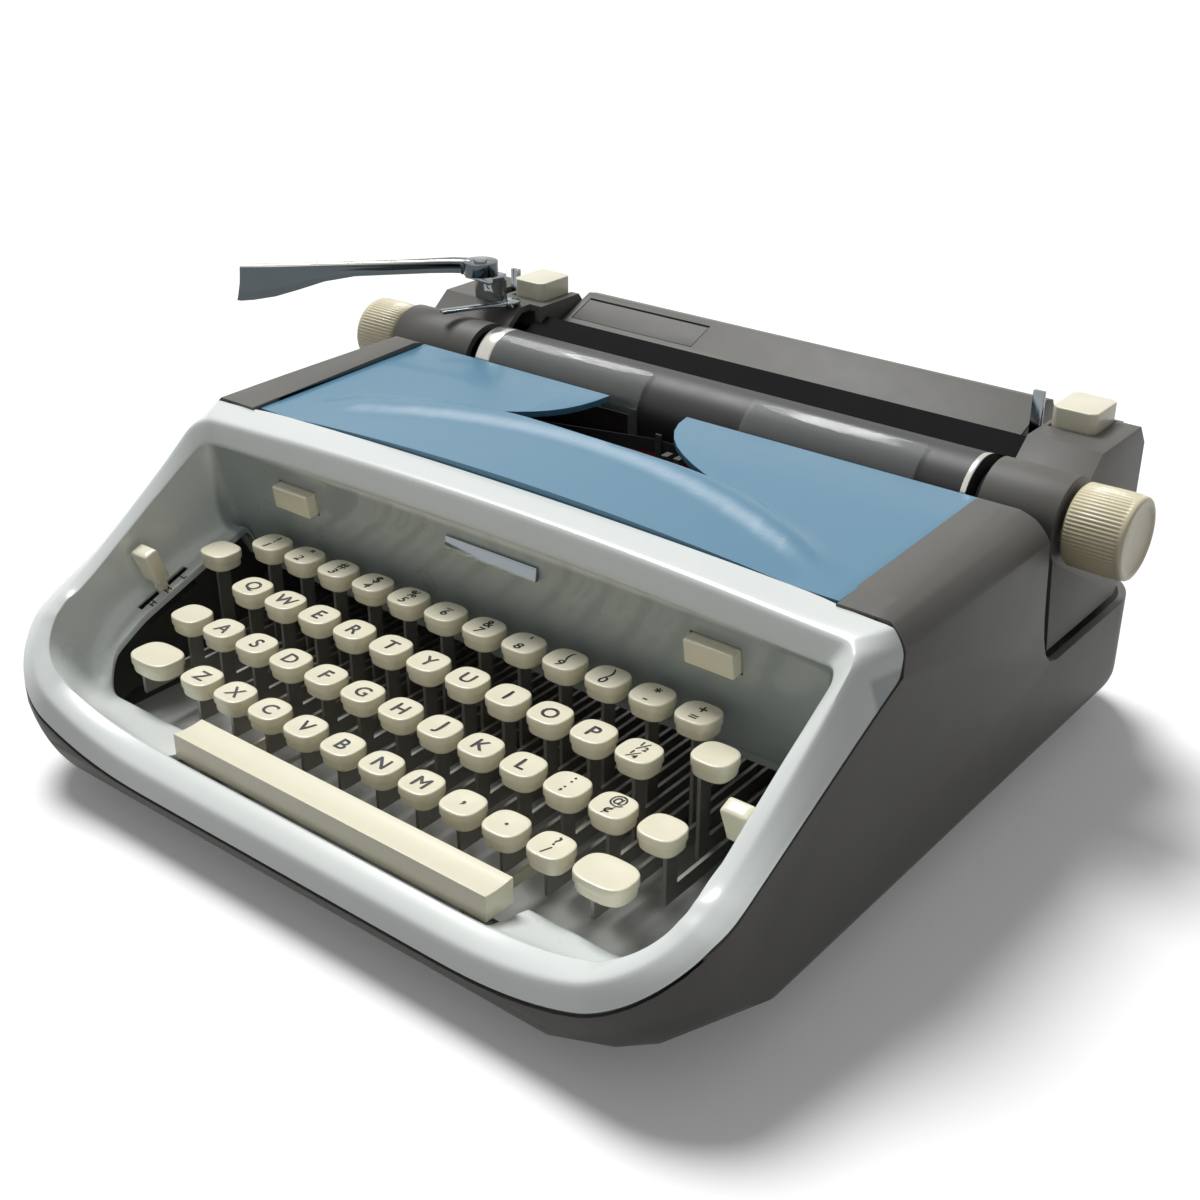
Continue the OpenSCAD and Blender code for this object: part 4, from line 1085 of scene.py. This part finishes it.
    def ledge_z(self, y: float, side: Side, t: float) -> float:
        """Height of the ledge's inner edge.

        Args:
            y: the station's place.
            side: its stretch.
            t: the share of that stretch.

        Returns:
            The height.
        """
        level = steps(self.shelf, y)
        if side is Side.BACK_CORNER:
            return self.panel_ledge + (level - self.panel_ledge) * ease(t)
        if side is Side.FRONT_CORNER:
            return level + (self.lip_z - level) * ease(t)
        return {Side.BACK: self.panel_ledge, Side.FRONT: self.lip_z}.get(side, level)

    def rings(self) -> list[Row]:
        """The frame's sections, from the seam over the crest and down to the key well.

        Returns:
            Rows of points in millimetres.
        """
        seam = self.seam_row()
        crest = self.crest_row(seam)
        inner = self.inner_row(crest)
        tuck = self.tuck_row(inner)
        foot = [(x, y, self.foot_z(y, side, t)) for x, y, side, t in self.foot.stations()]
        ledge = [(x, y, self.ledge_z(y, side, t)) for x, y, side, t in self.ledge.stations()]
        hem = [(x, y, z - self.hem) for x, y, z in ledge]
        flank = []
        share, fullness = self.bulge
        for p, q in zip(seam, crest):
            x, y, z = between(p, q, share)
            flank.append((x + math.copysign(fullness * max(0.0, abs(p[0]) - abs(q[0])), x), y, z))
        band = []
        for p, q in zip(crest, inner):
            x, y, z = between(p, q, 0.5)
            band.append((x, y, z + self.swell))
        # Pairs of rows, and how far each section lies from the first to the second.
        plan = [
            (seam, seam, 0), (seam, crest, 0.06), (flank, flank, 0), (seam, crest, 0.9),
            (crest, band, 0.12), (crest, band, 0.55), (band, inner, 0.2), (band, inner, 0.75),
            (band, inner, 0.94), (inner, tuck, 0.6), (tuck, foot, 0.03), (tuck, foot, 0.3),
            (tuck, foot, 0.6), (tuck, foot, 0.84), (foot, ledge, 0.26), (foot, ledge, 0.6),
            (foot, ledge, 0.94), (ledge, hem, 0.1), (hem, hem, 0),
        ]
        return [[between(p, q, t) for p, q in zip(u, v)] for u, v, t in plan]

    def build(self) -> None:
        """Skins, thickens and cuts the frame, and adds its trim."""
        obj = loft("front_bezel_dress", self.rings())
        modify(obj, "SUBSURF", levels=1, render_levels=1)
        modify(obj, "SOLIDIFY", thickness=self.wall * MM, offset=-1.0)
        tools = [block_about(mid, self.button_hole, -self.button_tilt) for mid in self.buttons]
        tools += [block_about(mid, self.slot_hole, SLOT_TILT) for mid in self.slots()]
        cut(obj, *tools, block(*self.bar_hole))
        marks = [self.mark(obj, *spot) for spot in self.marks]
        settle(obj, "front_bezel_dress", "front_bezel", Dress.FRAME, ["front_bezel"], angle=40)
        settle(join(marks), "slot_marks", "front_bezel", Dress.INK)
        self.seam_shade_strip()
        self.trim_bar()
        self.linings()

    def mark(self, frame_piece: Piece, text: str, x: float, y: float) -> Piece:
        """Lays one letter on the ledge.

        Args:
            frame_piece: the frame, still about the middle of the case.
            text: the letter.
            x: its middle.
            y: its middle.

        Returns:
            The letter.
        """
        obj = lettering(text, self.mark_size)
        for v in obj.data.vertices:
            place = Vector((x * MM - v.co.y, y * MM + v.co.x, self.mark_from * MM))
            hit, where, _, _ = frame_piece.ray_cast(place, Vector((0, 0, -1)))
            level = steps(self.shelf, place.y / MM) * MM
            place.z = where.z if hit and abs(where.z - level) < self.mark_reach * MM else level
            v.co = place + Vector((0, 0, self.mark_lift * MM))
        return obj

    def seam_shade_strip(self) -> None:
        """Adds the dark strip in the seam with the case, a painted shade for the shadow in the gap."""
        rows: list[Row] = [[] for _ in self.strip_lifts]
        back, slope = self.strip_back
        for x, y, side, t in self.strip.stations():
            for row, lift in zip(rows, self.strip_lifts):
                if side is Side.BACK_CORNER:
                    z = self.back_z - self.back_fall * ease(t)
                    row.append((math.copysign(self.skin(z) - self.strip_inset, x), back - slope * lift, z))
                elif side is not Side.BACK:
                    row.append((x, y, self.seam_z(x, y) + lift))
        obj = loft("seam_painted_shade", rows, closed=False)
        modify(obj, "SOLIDIFY", thickness=self.strip_gauge * MM, offset=0.0)
        # The strip is painted shade standing in for the shadow in the gap between frame and case.
        settle(obj, "seam_painted_shade", "front_bezel", Dress.DARK)

    def linings(self) -> None:
        """Lines both slots with dark sleeves."""
        sleeves = []
        for place in self.slots():
            rows = [squarish(*self.lining_size, z, points=40, power=14.0) for z in self.lining_levels]
            obj = loft("slot_lining", rows)
            modify(obj, "SOLIDIFY", thickness=self.lining_gauge * MM, offset=1.0)
            lean(obj, place, SLOT_TILT)
            sleeves.append(obj)
        settle(join(sleeves), "slot_linings", "front_bezel", Dress.RUBBER)

    def trim_bar(self) -> None:
        """Adds the plain plated bar on the panel."""
        bar = block(*self.bar_box, -self.button_tilt)
        front = min(bar.data.polygons, key=lambda face: face.normal.y)
        for face in bar.data.polygons:
            face.select = face.index == front.index
        pick(bar)
        bpy.ops.object.mode_set(mode="EDIT")
        bpy.ops.mesh.inset(thickness=self.bar_inset[0] * MM, depth=self.bar_inset[1] * MM)
        bpy.ops.object.mode_set(mode="OBJECT")
        bevel(bar, self.bar_edge, segments=2, angle=40)
        settle(bar, "trim_bar", "front_bezel", Dress.CHROME)


@dataclass
class Case:
    """The metal case with its floor and feet."""

    round_edge: float = 1.2
    foot_edge: float = 1.0
    inside: tuple = (
        ("base_pan", Dress.PAN), ("keyboard_tray", Dress.WELL), ("side_frames", Dress.PAN),
        ("cross_members", Dress.PAN), ("fulcrum_rod", Dress.DULL), ("cover_hinge_pins", Dress.STEEL),
    )
    # Places along y with the height of the shoulder's top, and its outline below that top.
    shoulder_line: tuple = ((-40.4, 118.45), (-40.0, 118.49), (-33.0, 118.8), (-26.4, 119.05))
    shoulder_ring: tuple = (
        (137.3, -4.0), (137.3, -0.5), (137.6, -0.1), (138.2, 0.0), (151.5, 0.0), (151.5, -4.0),
    )

    def build(self) -> None:
        """Rounds the shell and dresses what it stands on."""
        soften("body_shell", Dress.CASE, self.round_edge, segments=3, angle=40)
        self.shoulder("case_shoulder_left", -1)
        self.shoulder("case_shoulder_right", 1)
        soften("rubber_feet", Dress.RUBBER, self.foot_edge, segments=3)
        for node, dress in self.inside:
            paint(node, dress)

    def shoulder(self, name: str, side: int) -> None:
        """Closes the case's shoulder beside the front corner of the cover.

        Args:
            name: the piece's name.
            side: 1 on the right, -1 on the left.
        """
        rows = [[(side * x, y, top + z) for x, z in self.shoulder_ring] for y, top in self.shoulder_line]
        obj = loft(name, rows)
        close_ends(obj)
        settle(obj, name, "body_shell", Dress.CASE)


@dataclass
class TopCover:
    """The hinged blue cover over the type basket, with a brow before its opening."""

    round_edge: float = 0.8
    # The brow: its height, its line and that line's bend, its runs before and behind the line,
    # and how far from the middle it is full and ends.
    rise: float = 2.4
    line: float = 9.0
    bend: float = 0.00202
    front_run: float = 12.0
    back_run: float = 11.0
    full: float = 95.0
    reach: float = 135.0
    # Where the cover is cut finer for the brow.
    cuts_x: range = range(-132, 133, 6)
    cuts_y: range = range(-38, 25, 2)

    def brow(self, x: float, y: float) -> float:
        """Rise of the brow at a place.

        Args:
            x: the place, in millimetres.
            y: the place, in millimetres.

        Returns:
            The rise in millimetres.
        """
        v = y + self.bend * x * x - self.line
        ridge = ease(1 + v / self.front_run) if v < 0 else ease(1 - v / self.back_run)
        return self.rise * ridge * ease((self.reach - abs(x)) / (self.reach - self.full))

    def score(self, place: Point, normal: Point) -> None:
        """Cuts one line of points across the whole mesh, in edit mode."""
        bpy.ops.mesh.select_all(action="SELECT")
        bpy.ops.mesh.bisect(plane_co=Vector(place) * MM, plane_no=normal)

    def build(self) -> None:
        """Rounds the cover, cuts it finer and raises the brow."""
        obj = rounded("top_cover", self.round_edge, segments=3, angle=25)
        across = [lambda x=x: self.score((x, 0, 0), (1, 0, 0)) for x in self.cuts_x]
        along = [lambda y=y: self.score((0, y, 0), (0, 1, 0)) for y in self.cuts_y]
        edit(obj, *across, *along)
        for v in obj.data.vertices:
            v.co.z += self.brow(v.co.x / MM, v.co.y / MM) * MM
        settle(obj, "top_cover_dress", "top_cover", Dress.COVER, ["top_cover"])


@dataclass
class KeyCap:
    """A moulded key top with a neck, a soft flange and a dished face."""

    points: int = 40
    power: float = 2.9
    depth: float = 7.0
    dish: float = 0.42
    # Insets from the box and drops from its top, from the neck to the face.
    profile: tuple = (
        (2.6, 7.0), (1.2, 7.0), (0.75, 6.8), (0.6, 6.3), (0.5, 4.2), (0.48, 3.9), (0.15, 3.7), (0.0, 3.4),
        (0.0, 0.9), (0.04, 0.5), (0.16, 0.2), (0.4, 0.05), (0.8, 0.0), (1.5, 0.03), (3.0, 0.14),
        (4.6, 0.25), (5.4, 0.3),
    )

    def build(self, name: str, lo: Vector, hi: Vector) -> Piece:
        """Makes a cap in a box.

        Args:
            name: the piece's name.
            lo: the box's lowest corner in millimetres.
            hi: its highest corner.

        Returns:
            The cap.
        """
        hw, hd = (hi.x - lo.x) / 2, (hi.y - lo.y) / 2
        mid = ((hi.x + lo.x) / 2, (hi.y + lo.y) / 2)
        rows = [[(0.0, 0.0, hi.z - self.depth)] * self.points]
        for inset, drop in self.profile:
            rows.append(squarish(hw - inset, hd - inset, hi.z - drop, self.points, self.power))
        rows.append([(0.0, 0.0, hi.z - self.dish)] * self.points)
        return loft(name, [[(x + mid[0], y + mid[1], z) for x, y, z in row] for row in rows])


@dataclass
class Keyboard:
    """Key tops, levers, legends and the space bar."""

    cap: KeyCap = field(default_factory=KeyCap)
    rows: dict = field(default_factory=lambda: {
        "number": [
            "!\n1", "\"\n2", "#\n3", "$\n4", "%\n5", "_\n6", "&\n7", "'\n8", "(\n9", ")\n0", "*\n-", "+\n=",
        ],
        "upper": ["Q", "W", "E", "R", "T", "Y", "U", "I", "O", "P", "½\n¼"],
        "home": ["A", "S", "D", "F", "G", "J", "K", "L", ":\n;", "@\n¢"],
        "lower": ["Z", "X", "C", "V", "B", "N", "M", ",", ".", "?\n/"],
    })
    letter: float = 8.6
    small: float = 6.2
    ink_lift: float = 0.06
    # Distances from a cap's middle and depths of its dish there.
    face: tuple = ((0.0, 0.42), (1.6, 0.32), (3.0, 0.22), (4.6, 0.08), (5.8, 0.03))
    top_band: float = 6.0
    split: float = 6.6
    bar_edge: float = 1.8
    whole_keys: tuple = (
        "shift_key_left", "shift_key_right", "shift_lock_key", "back_space_key", "tab_key",
        "margin_release_key", "center_key",
    )

    def legend(self, text: str, lo: Vector, hi: Vector) -> Piece:
        """Flat characters that lie in a cap's dish.

        Args:
            text: one or two lines.
            lo: the cap's lowest corner in millimetres.
            hi: its highest corner.

        Returns:
            The characters as a mesh.
        """
        obj = lettering(text, self.small if "\n" in text else self.letter)
        x, y = (lo.x + hi.x) / 2, (lo.y + hi.y) / 2
        for v in obj.data.vertices:
            dx, dy = v.co.x / MM, v.co.y / MM
            dish = steps(self.face, max(abs(dx), abs(dy)))
            v.co = Vector((x + dx, y + dy, hi.z - dish + self.ink_lift)) * MM
        return obj

    def build(self) -> None:
        """Makes the rows, the single keys and the bar."""
        for row, legends in self.rows.items():
            node = row + "_row_tops"
            boxes = islands(node)
            caps = [self.cap.build(node, lo, hi) for lo, hi in boxes]
            marks = [self.legend(text, lo, hi) for (lo, hi), text in zip(boxes, legends)]
            settle(join(caps), node + "_dress", node, Dress.KEY, [node], angle=50)
            settle(join(marks), row + "_row_legends", node, Dress.INK)
            paint(row + "_row_levers", Dress.LEVER)
        for node in self.whole_keys:
            self.whole_key(node)
        soften("space_bar", Dress.KEY, self.bar_edge, segments=4, angle=25)

    def whole_key(self, node: str) -> None:
        """Splits a single key into its cap and its lever.

        Args:
            node: the key's node.
        """
        top = span(node)[1].z
        obj = cad_copy(node)
        near = [v.co / MM for v in obj.data.vertices if v.co.z / MM > top - self.top_band]
        lo = Vector((min(c.x for c in near), min(c.y for c in near), top - self.cap.depth))
        hi = Vector((max(c.x for c in near), max(c.y for c in near), top))
        edit(obj, lambda: bpy.ops.mesh.bisect(
            plane_co=(0, 0, (top - self.split) * MM), plane_no=(0, 0, 1), use_fill=True, clear_outer=True
        ))
        settle(self.cap.build(node + "_top", lo, hi), node + "_top", node, Dress.KEY, angle=50)
        settle(obj, node + "_lever", node, Dress.LEVER, [node])
        if node == "center_key":
            settle(self.legend("H", lo, hi), "center_key_legend", node, Dress.INK)


@dataclass
class Controls:
    """Panel buttons and the two levers in the ledge's slots."""

    button_edge: float = 0.7
    points: int = 32
    power: float = 9.0
    # Heights along the lever, with half widths and half depths.
    sections: tuple = (
        (-8.0, 1.1, 2.4), (0.0, 1.1, 2.4), (5.8, 1.1, 2.4), (6.0, 3.0, 2.6), (6.3, 4.6, 2.9),
        (6.9, 5.0, 3.2), (19.4, 5.0, 3.2), (20.0, 4.8, 3.0), (20.4, 4.3, 2.5), (20.45, 2.0, 1.0),
    )

    def build(self) -> None:
        """Makes each control."""
        for node in ("tab_set_button", "tab_clear_button"):
            soften(node, Dress.KEY, self.button_edge, segments=3, angle=25)
        self.slot_lever("touch_control", -1)
        self.slot_lever("ribbon_selector", 1)

    def slot_lever(self, node: str, side: int) -> None:
        """Lofts a lever that widens from its slot to its head.

        Args:
            node: the lever's node.
            side: the side of the keyboard, 1 or -1.
        """
        rows = [squarish(hw, hd, z, self.points, self.power) for z, hw, hd in self.sections]
        foot, head = [[(0.0, 0.0, self.sections[end][0])] * self.points for end in (0, -1)]
        obj = loft(node, [foot] + rows + [head])
        x, y, z = SLOT_PLACE
        lean(obj, (side * x, y, z), SLOT_TILT)
        settle(obj, node + "_dress", node, Dress.KEY, [node], angle=40)


@dataclass
class TypeBasket:
    """Segment, type bars, ribbon and spools."""

    small_edge: float = 0.3
    soft: tuple = (
        ("segment", Dress.STEEL), ("ribbon_spool_left", Dress.DARK), ("ribbon_spool_right", Dress.DARK),
    )
    plain: tuple = (
        ("typebars", Dress.STEEL), ("type_guide", Dress.STEEL), ("center_typebar", Dress.STEEL),
        ("ribbon_vibrator", Dress.STEEL), ("ribbon", Dress.RIBBON), ("spool_cups", Dress.DULL),
    )

    def build(self) -> None:
        """Dresses the works under the cover."""
        for node, dress in self.soft:
            soften(node, dress, self.small_edge)
        for node, dress in self.plain:
            paint(node, dress)


@dataclass
class Knob:
    """A platen knob with fine ribs along its rim."""

    ribs: int = 66
    per_rib: int = 5
    rib_depth: float = 0.45
    # Distances from the inner end, insets from the radius and shares of the ribs' depth.
    near: tuple = ((0.0, 2.2, 0.0), (0.3, 1.6, 0.0), (1.0, 0.9, 0.2), (1.6, 0.25, 1.0))
    # The same from the plain end.
    far: tuple = (
        (3.2, 0.0, 1.0), (2.6, 0.2, 0.4), (2.0, 0.25, 0.0), (1.0, 0.3, 0.0), (0.35, 0.7, 0.0),
        (0.0, 1.5, 0.0), (0.0, 2.6, 0.0), (0.5, 3.2, 0.0), (0.9, 4.2, 0.0),
    )
    bore: float = 4.0
    dimple: float = 2.0
    recess: float = 0.9

    def profile(self, r: float, length: float) -> list[tuple[float, float, float]]:
        """The knob's outline.

        Args:
            r: its radius.
            length: its length.

        Returns:
            Distances along it, radii and shares of the ribs' depth.
        """
        start = [(0.0, self.bore, 0.0)] + [(along, r - inset, share) for along, inset, share in self.near]
        end = [(length - back, r - inset, share) for back, inset, share in self.far]
        face = [(length - self.recess, radius, 0.0) for radius in (self.dimple, 0.0)]
        return start + [(length * 0.5, r, 1.0)] + end + face

    def build(self, node: str, outward: int) -> None:
        """Turns a knob in its node's box.

        Args:
            node: the knob's node.
            outward: the side that its plain end faces, 1 or -1.
        """
        lo, hi = span(node)
        _, y, z = between(lo, hi, 0.5)
        start = lo.x if outward > 0 else hi.x
        count = self.ribs * self.per_rib
        rows = []
        for along, radius, share in self.profile((hi.z - lo.z) / 2, hi.x - lo.x):
            row = []
            for k in range(count):
                a = math.tau * k / count
                groove = self.rib_depth * share * (0.5 - 0.5 * math.cos(a * self.ribs)) ** 2
                rr = max(0.0, radius - groove)
                row.append((start + outward * along, y + rr * math.cos(a), z + rr * math.sin(a)))
            rows.append(row)
        settle(loft(node, rows), node + "_dress", node, Dress.KNOB, [node], angle=50)


@dataclass
class ReturnLever:
    """The plated lever, a bent blade with a rolled top edge and a broad end, with a painted highlight along
    that edge.
    """

    pivot: tuple = (-141.0, 101.0)
    angle: float = 209.2
    gauge: float = 1.3
    hollow: float = 0.09
    web_end: float = 1.6
    web_steps: int = 4
    foot_step: float = 0.2
    rim_round: float = 0.3
    # Distances across the blade and drops from its upper edge, outside and inside the bend.
    bend: tuple = ((0.14, 0.9), (0.5, 0.35), (1.1, 0.06), (1.8, 0.0))
    inner_bend: tuple = ((2.0, 0.0), (1.6, 0.3))
    # The slant of the broad end: how far, from where, over which run, and on which height.
    slant: tuple = (3.0, 92.0, 22.0, 17.0)
    hub_end: float = 9.0
    hub_edge: float = 0.6
    # The roll that carries the painted highlight: its middle across, half width, drop of its middle and half
    # height.
    highlight_bead: tuple = (-0.2, 0.85, 0.55, 0.75)
    highlight_bead_points: int = 12
    # Distances from the pivot, heights of the upper and lower edge, and widths of the turned edge.
    stations: tuple = (
        (5.0, 147.4, 141.6, 6.0), (14.0, 147.3, 141.4, 6.0), (24.0, 146.6, 140.8, 5.0),
        (40.0, 145.4, 139.4, 3.6), (60.0, 144.0, 137.6, 3.0), (75.0, 142.9, 134.4, 2.8),
        (88.0, 141.9, 129.8, 2.8), (99.0, 141.1, 126.0, 2.8), (108.0, 140.6, 123.8, 2.8),
        (114.0, 140.3, 123.0, 2.6), (116.0, 140.2, 123.2, 2.2),
    )

    def heading(self) -> Vector:
        """The level direction from the pivot to the blade's end."""
        a = math.radians(self.angle)
        return Vector((math.cos(a), math.sin(a), 0.0))

    def spot(self, along: float, across: float, z: float) -> tuple[float, float, float]:
        """A point by its distances along and across the blade."""
        c, s, _ = self.heading()
        return (self.pivot[0] + along * c - across * s, self.pivot[1] + along * s + across * c, z)

    def section(self, s: float, top: float, low: float, flange: float) -> Row:
        """One section of the blade.

        Args:
            s: distance from the pivot.
            top: height of its upper edge.
            low: height of its lower edge.
            flange: width of the turned edge.

        Returns:
            Points in millimetres.
        """
        t, r, tall = self.gauge, self.rim_round, top - low
        web = [0.5 - math.cos(math.pi * k / self.web_steps) * 0.5 for k in range(self.web_steps + 1)]
        front = []
        for k in web:
            front.append((self.hollow * tall * math.sin(math.pi * k), low + (tall - self.web_end) * k))
        bend = [(v, top - drop) for v, drop in self.bend]
        rim = [(flange - r, top), (flange, top - r), (flange, top - t + r), (flange - r, top - t)]
        inner = [(v, top - t - drop) for v, drop in self.inner_bend]
        back = [(t + x, z) for x, z in reversed(front[1:])]
        loop = front + bend + rim + inner + back + [(t, low + self.foot_step)]
        lean_by, start, run, tall_end = self.slant
        shear = lean_by * ease((s - start) / run) / tall_end
        return [self.spot(s + shear * (top - z), t / 2 - v, z) for v, z in loop]

    def highlight_bead_section(self, s: float, top: float) -> Row:
        """One section of the roll along the upper edge, which carries the painted highlight.

        Args:
            s: distance from the pivot.
            top: height of the upper edge.

        Returns:
            Points in millimetres.
        """
        across, half, drop, tall = self.highlight_bead
        turns = [math.tau * k / self.highlight_bead_points for k in range(self.highlight_bead_points)]
        return [self.spot(s, across + half * math.cos(a), top - drop + tall * math.sin(a)) for a in turns]

    def build(self) -> None:
        """Lofts the blade and its edge with the painted highlight, and rounds the hub."""
        blade = loft("return_lever", [self.section(*row) for row in self.stations])
        close_ends(blade)
        hub = cad_copy("return_lever")
        end = Vector(self.spot(self.hub_end, 0.0, 0.0)) * MM
        edit(hub, lambda: bpy.ops.mesh.bisect(
            plane_co=end, plane_no=self.heading(), use_fill=True, clear_outer=True,
        ))
        bevel(hub, self.hub_edge, segments=3, angle=30)
        settle(join([blade, hub]), "return_lever_dress", "return_lever", Dress.BLADE, ["return_lever"])
        edge = loft("return_lever_painted_highlight", [self.highlight_bead_section(s, top) for s, top, _, _ in self.stations])
        close_ends(edge)
        settle(edge, "return_lever_painted_highlight", "return_lever", Dress.PLATE)


@dataclass
class Carriage:
    """End caps, platen, covers, levers and knobs."""

    knob: Knob = field(default_factory=Knob)
    lever: ReturnLever = field(default_factory=ReturnLever)
    # Rounded nodes: finish, width of the rounding, faces across it, and the angle past which it starts.
    housing: tuple = (
        ("end_cap_left", Dress.CASE, 1.6, 3, 30), ("end_cap_right", Dress.CASE, 1.6, 3, 30),
        ("rear_cover", Dress.CASE, 1.0, 3, 30), ("paper_support", Dress.CASE, 0.3, 2, 30),
    )
    fittings: tuple = (
        ("lever_bracket", Dress.CHROME, 0.5, 3, 25), ("carriage_release", Dress.CHROME, 0.4, 2, 30),
        ("paper_release_lever", Dress.CHROME, 0.4, 2, 30), ("margin_button_left", Dress.KEY, 0.6, 3, 25),
        ("margin_button_right", Dress.KEY, 0.6, 3, 25),
    )
    holder_edge: float = 0.2
    # The paper apron's near-black finish is painted shade.
    plain: tuple = (
        ("platen", Dress.RUBBER), ("platen_shaft", Dress.STEEL), ("carriage_frame", Dress.PAN),
        ("carriage_rail", Dress.STEEL), ("feed_roller", Dress.RUBBER), ("paper_apron", Dress.APRON),
        ("spring_drum", Dress.STEEL),
    )
    # Left edges and widths of the plated bands on the platen.
    bands: tuple = (("platen_band_left", -116.7, 8.2), ("platen_band_right", 122.4, 2.4))
    band_proud: float = 0.12
    band_edge: tuple = ((0.0, -2.0), (0.0, -0.4), (0.12, -0.12), (0.4, 0.0))
    band_points: int = 72

    def build(self) -> None:
        """Dresses the carriage."""
        for piece in self.housing:
            soften(*piece)
        for node, dress in self.plain:
            paint(node, dress)
        for band in self.bands:
            self.band(*band)
        soften("card_holders", Dress.CLEAR, self.holder_edge)
        self.lever.build()
        for piece in self.fittings:
            soften(*piece)
        self.knob.build("platen_knob_right", 1)
        self.knob.build("platen_knob_left", -1)

    def band(self, name: str, start: float, width: float) -> None:
        """Turns a plated band for one end of the platen.

        Args:
            name: the band's name.
            start: its left edge.
            width: its width.
        """
        lo, hi = span("platen")
        r = (hi.z - lo.z) / 2 + self.band_proud
        _, y, z = between(lo, hi, 0.5)
        turns = [math.tau * k / self.band_points for k in range(self.band_points)]
        far_edge = [(width - along, rise) for along, rise in reversed(self.band_edge)]
        rows = []
        for along, rise in [*self.band_edge, *far_edge]:
            rr = r + rise
            rows.append([(start + along, y + rr * math.cos(a), z + rr * math.sin(a)) for a in turns])
        settle(loft(name, rows), name, "platen", Dress.PLATE)


@dataclass
class Studio:
    """Floor, sky, lamp and camera."""

    camera: tuple = (365.753, -441.628, 353.810)
    azimuth: float = 38.819
    elevation: float = 27.209
    lens: float = 49.379
    sensor: float = 36.0
    clip: tuple = (0.01, 50.0)
    sun_from: tuple = (-0.52, 0.22, 1.0)
    sun_strength: float = 2.9
    sun_angle: float = 24.0
    sky: float = 0.2
    floor_size: float = 14.0

    def build(self) -> None:
        """Sets the stage."""
        pick()
        bpy.ops.mesh.primitive_plane_add(size=self.floor_size, location=(0, 0, 0))
        ground = bpy.context.object
        ground.name = "floor"
        ground.data.materials.append(Dress.FLOOR.value.material())
        self.light()
        cam = bpy.data.objects.new("camera", bpy.data.cameras.new("camera"))
        bpy.context.scene.collection.objects.link(cam)
        cam.location = Vector(self.camera) * MM + SHIFT
        cam.rotation_euler = (math.radians(90 - self.elevation), 0, math.radians(self.azimuth))
        cam.data.sensor_width = self.sensor
        cam.data.lens = self.lens
        cam.data.clip_start, cam.data.clip_end = self.clip
        bpy.context.scene.camera = cam
        bpy.context.scene.view_settings.view_transform = "Standard"

    def light(self) -> None:
        """Adds the sky and a soft sun."""
        world = bpy.data.worlds.new("studio")
        bpy.context.scene.world = world
        g = Graph(world)
        strength = self.sky + (1 - self.sky) * g.seen()
        sky = g.node("ShaderNodeBackground", None, {"Strength": strength, "Color": (1, 1, 1, 1)})
        g.finish(sky, "ShaderNodeOutputWorld")
        sun = bpy.data.lights.new("sun", "SUN")
        sun.energy = self.sun_strength
        sun.angle = math.radians(self.sun_angle)
        lamp = bpy.data.objects.new("sun", sun)
        bpy.context.scene.collection.objects.link(lamp)
        lamp.rotation_euler = Vector(self.sun_from).to_track_quat("Z", "Y").to_euler()


def main() -> None:
    """Builds each sub-assembly in order."""
    logging.basicConfig(level=logging.INFO)
    for assembly in (
        Studio(), Case(), KeyboardFrame(), TopCover(), Keyboard(), Controls(), TypeBasket(), Carriage(),
    ):
        assembly.build()
        LOG.info("%s done", type(assembly).__name__)
    pick()


if __name__ == "__main__":
    main()
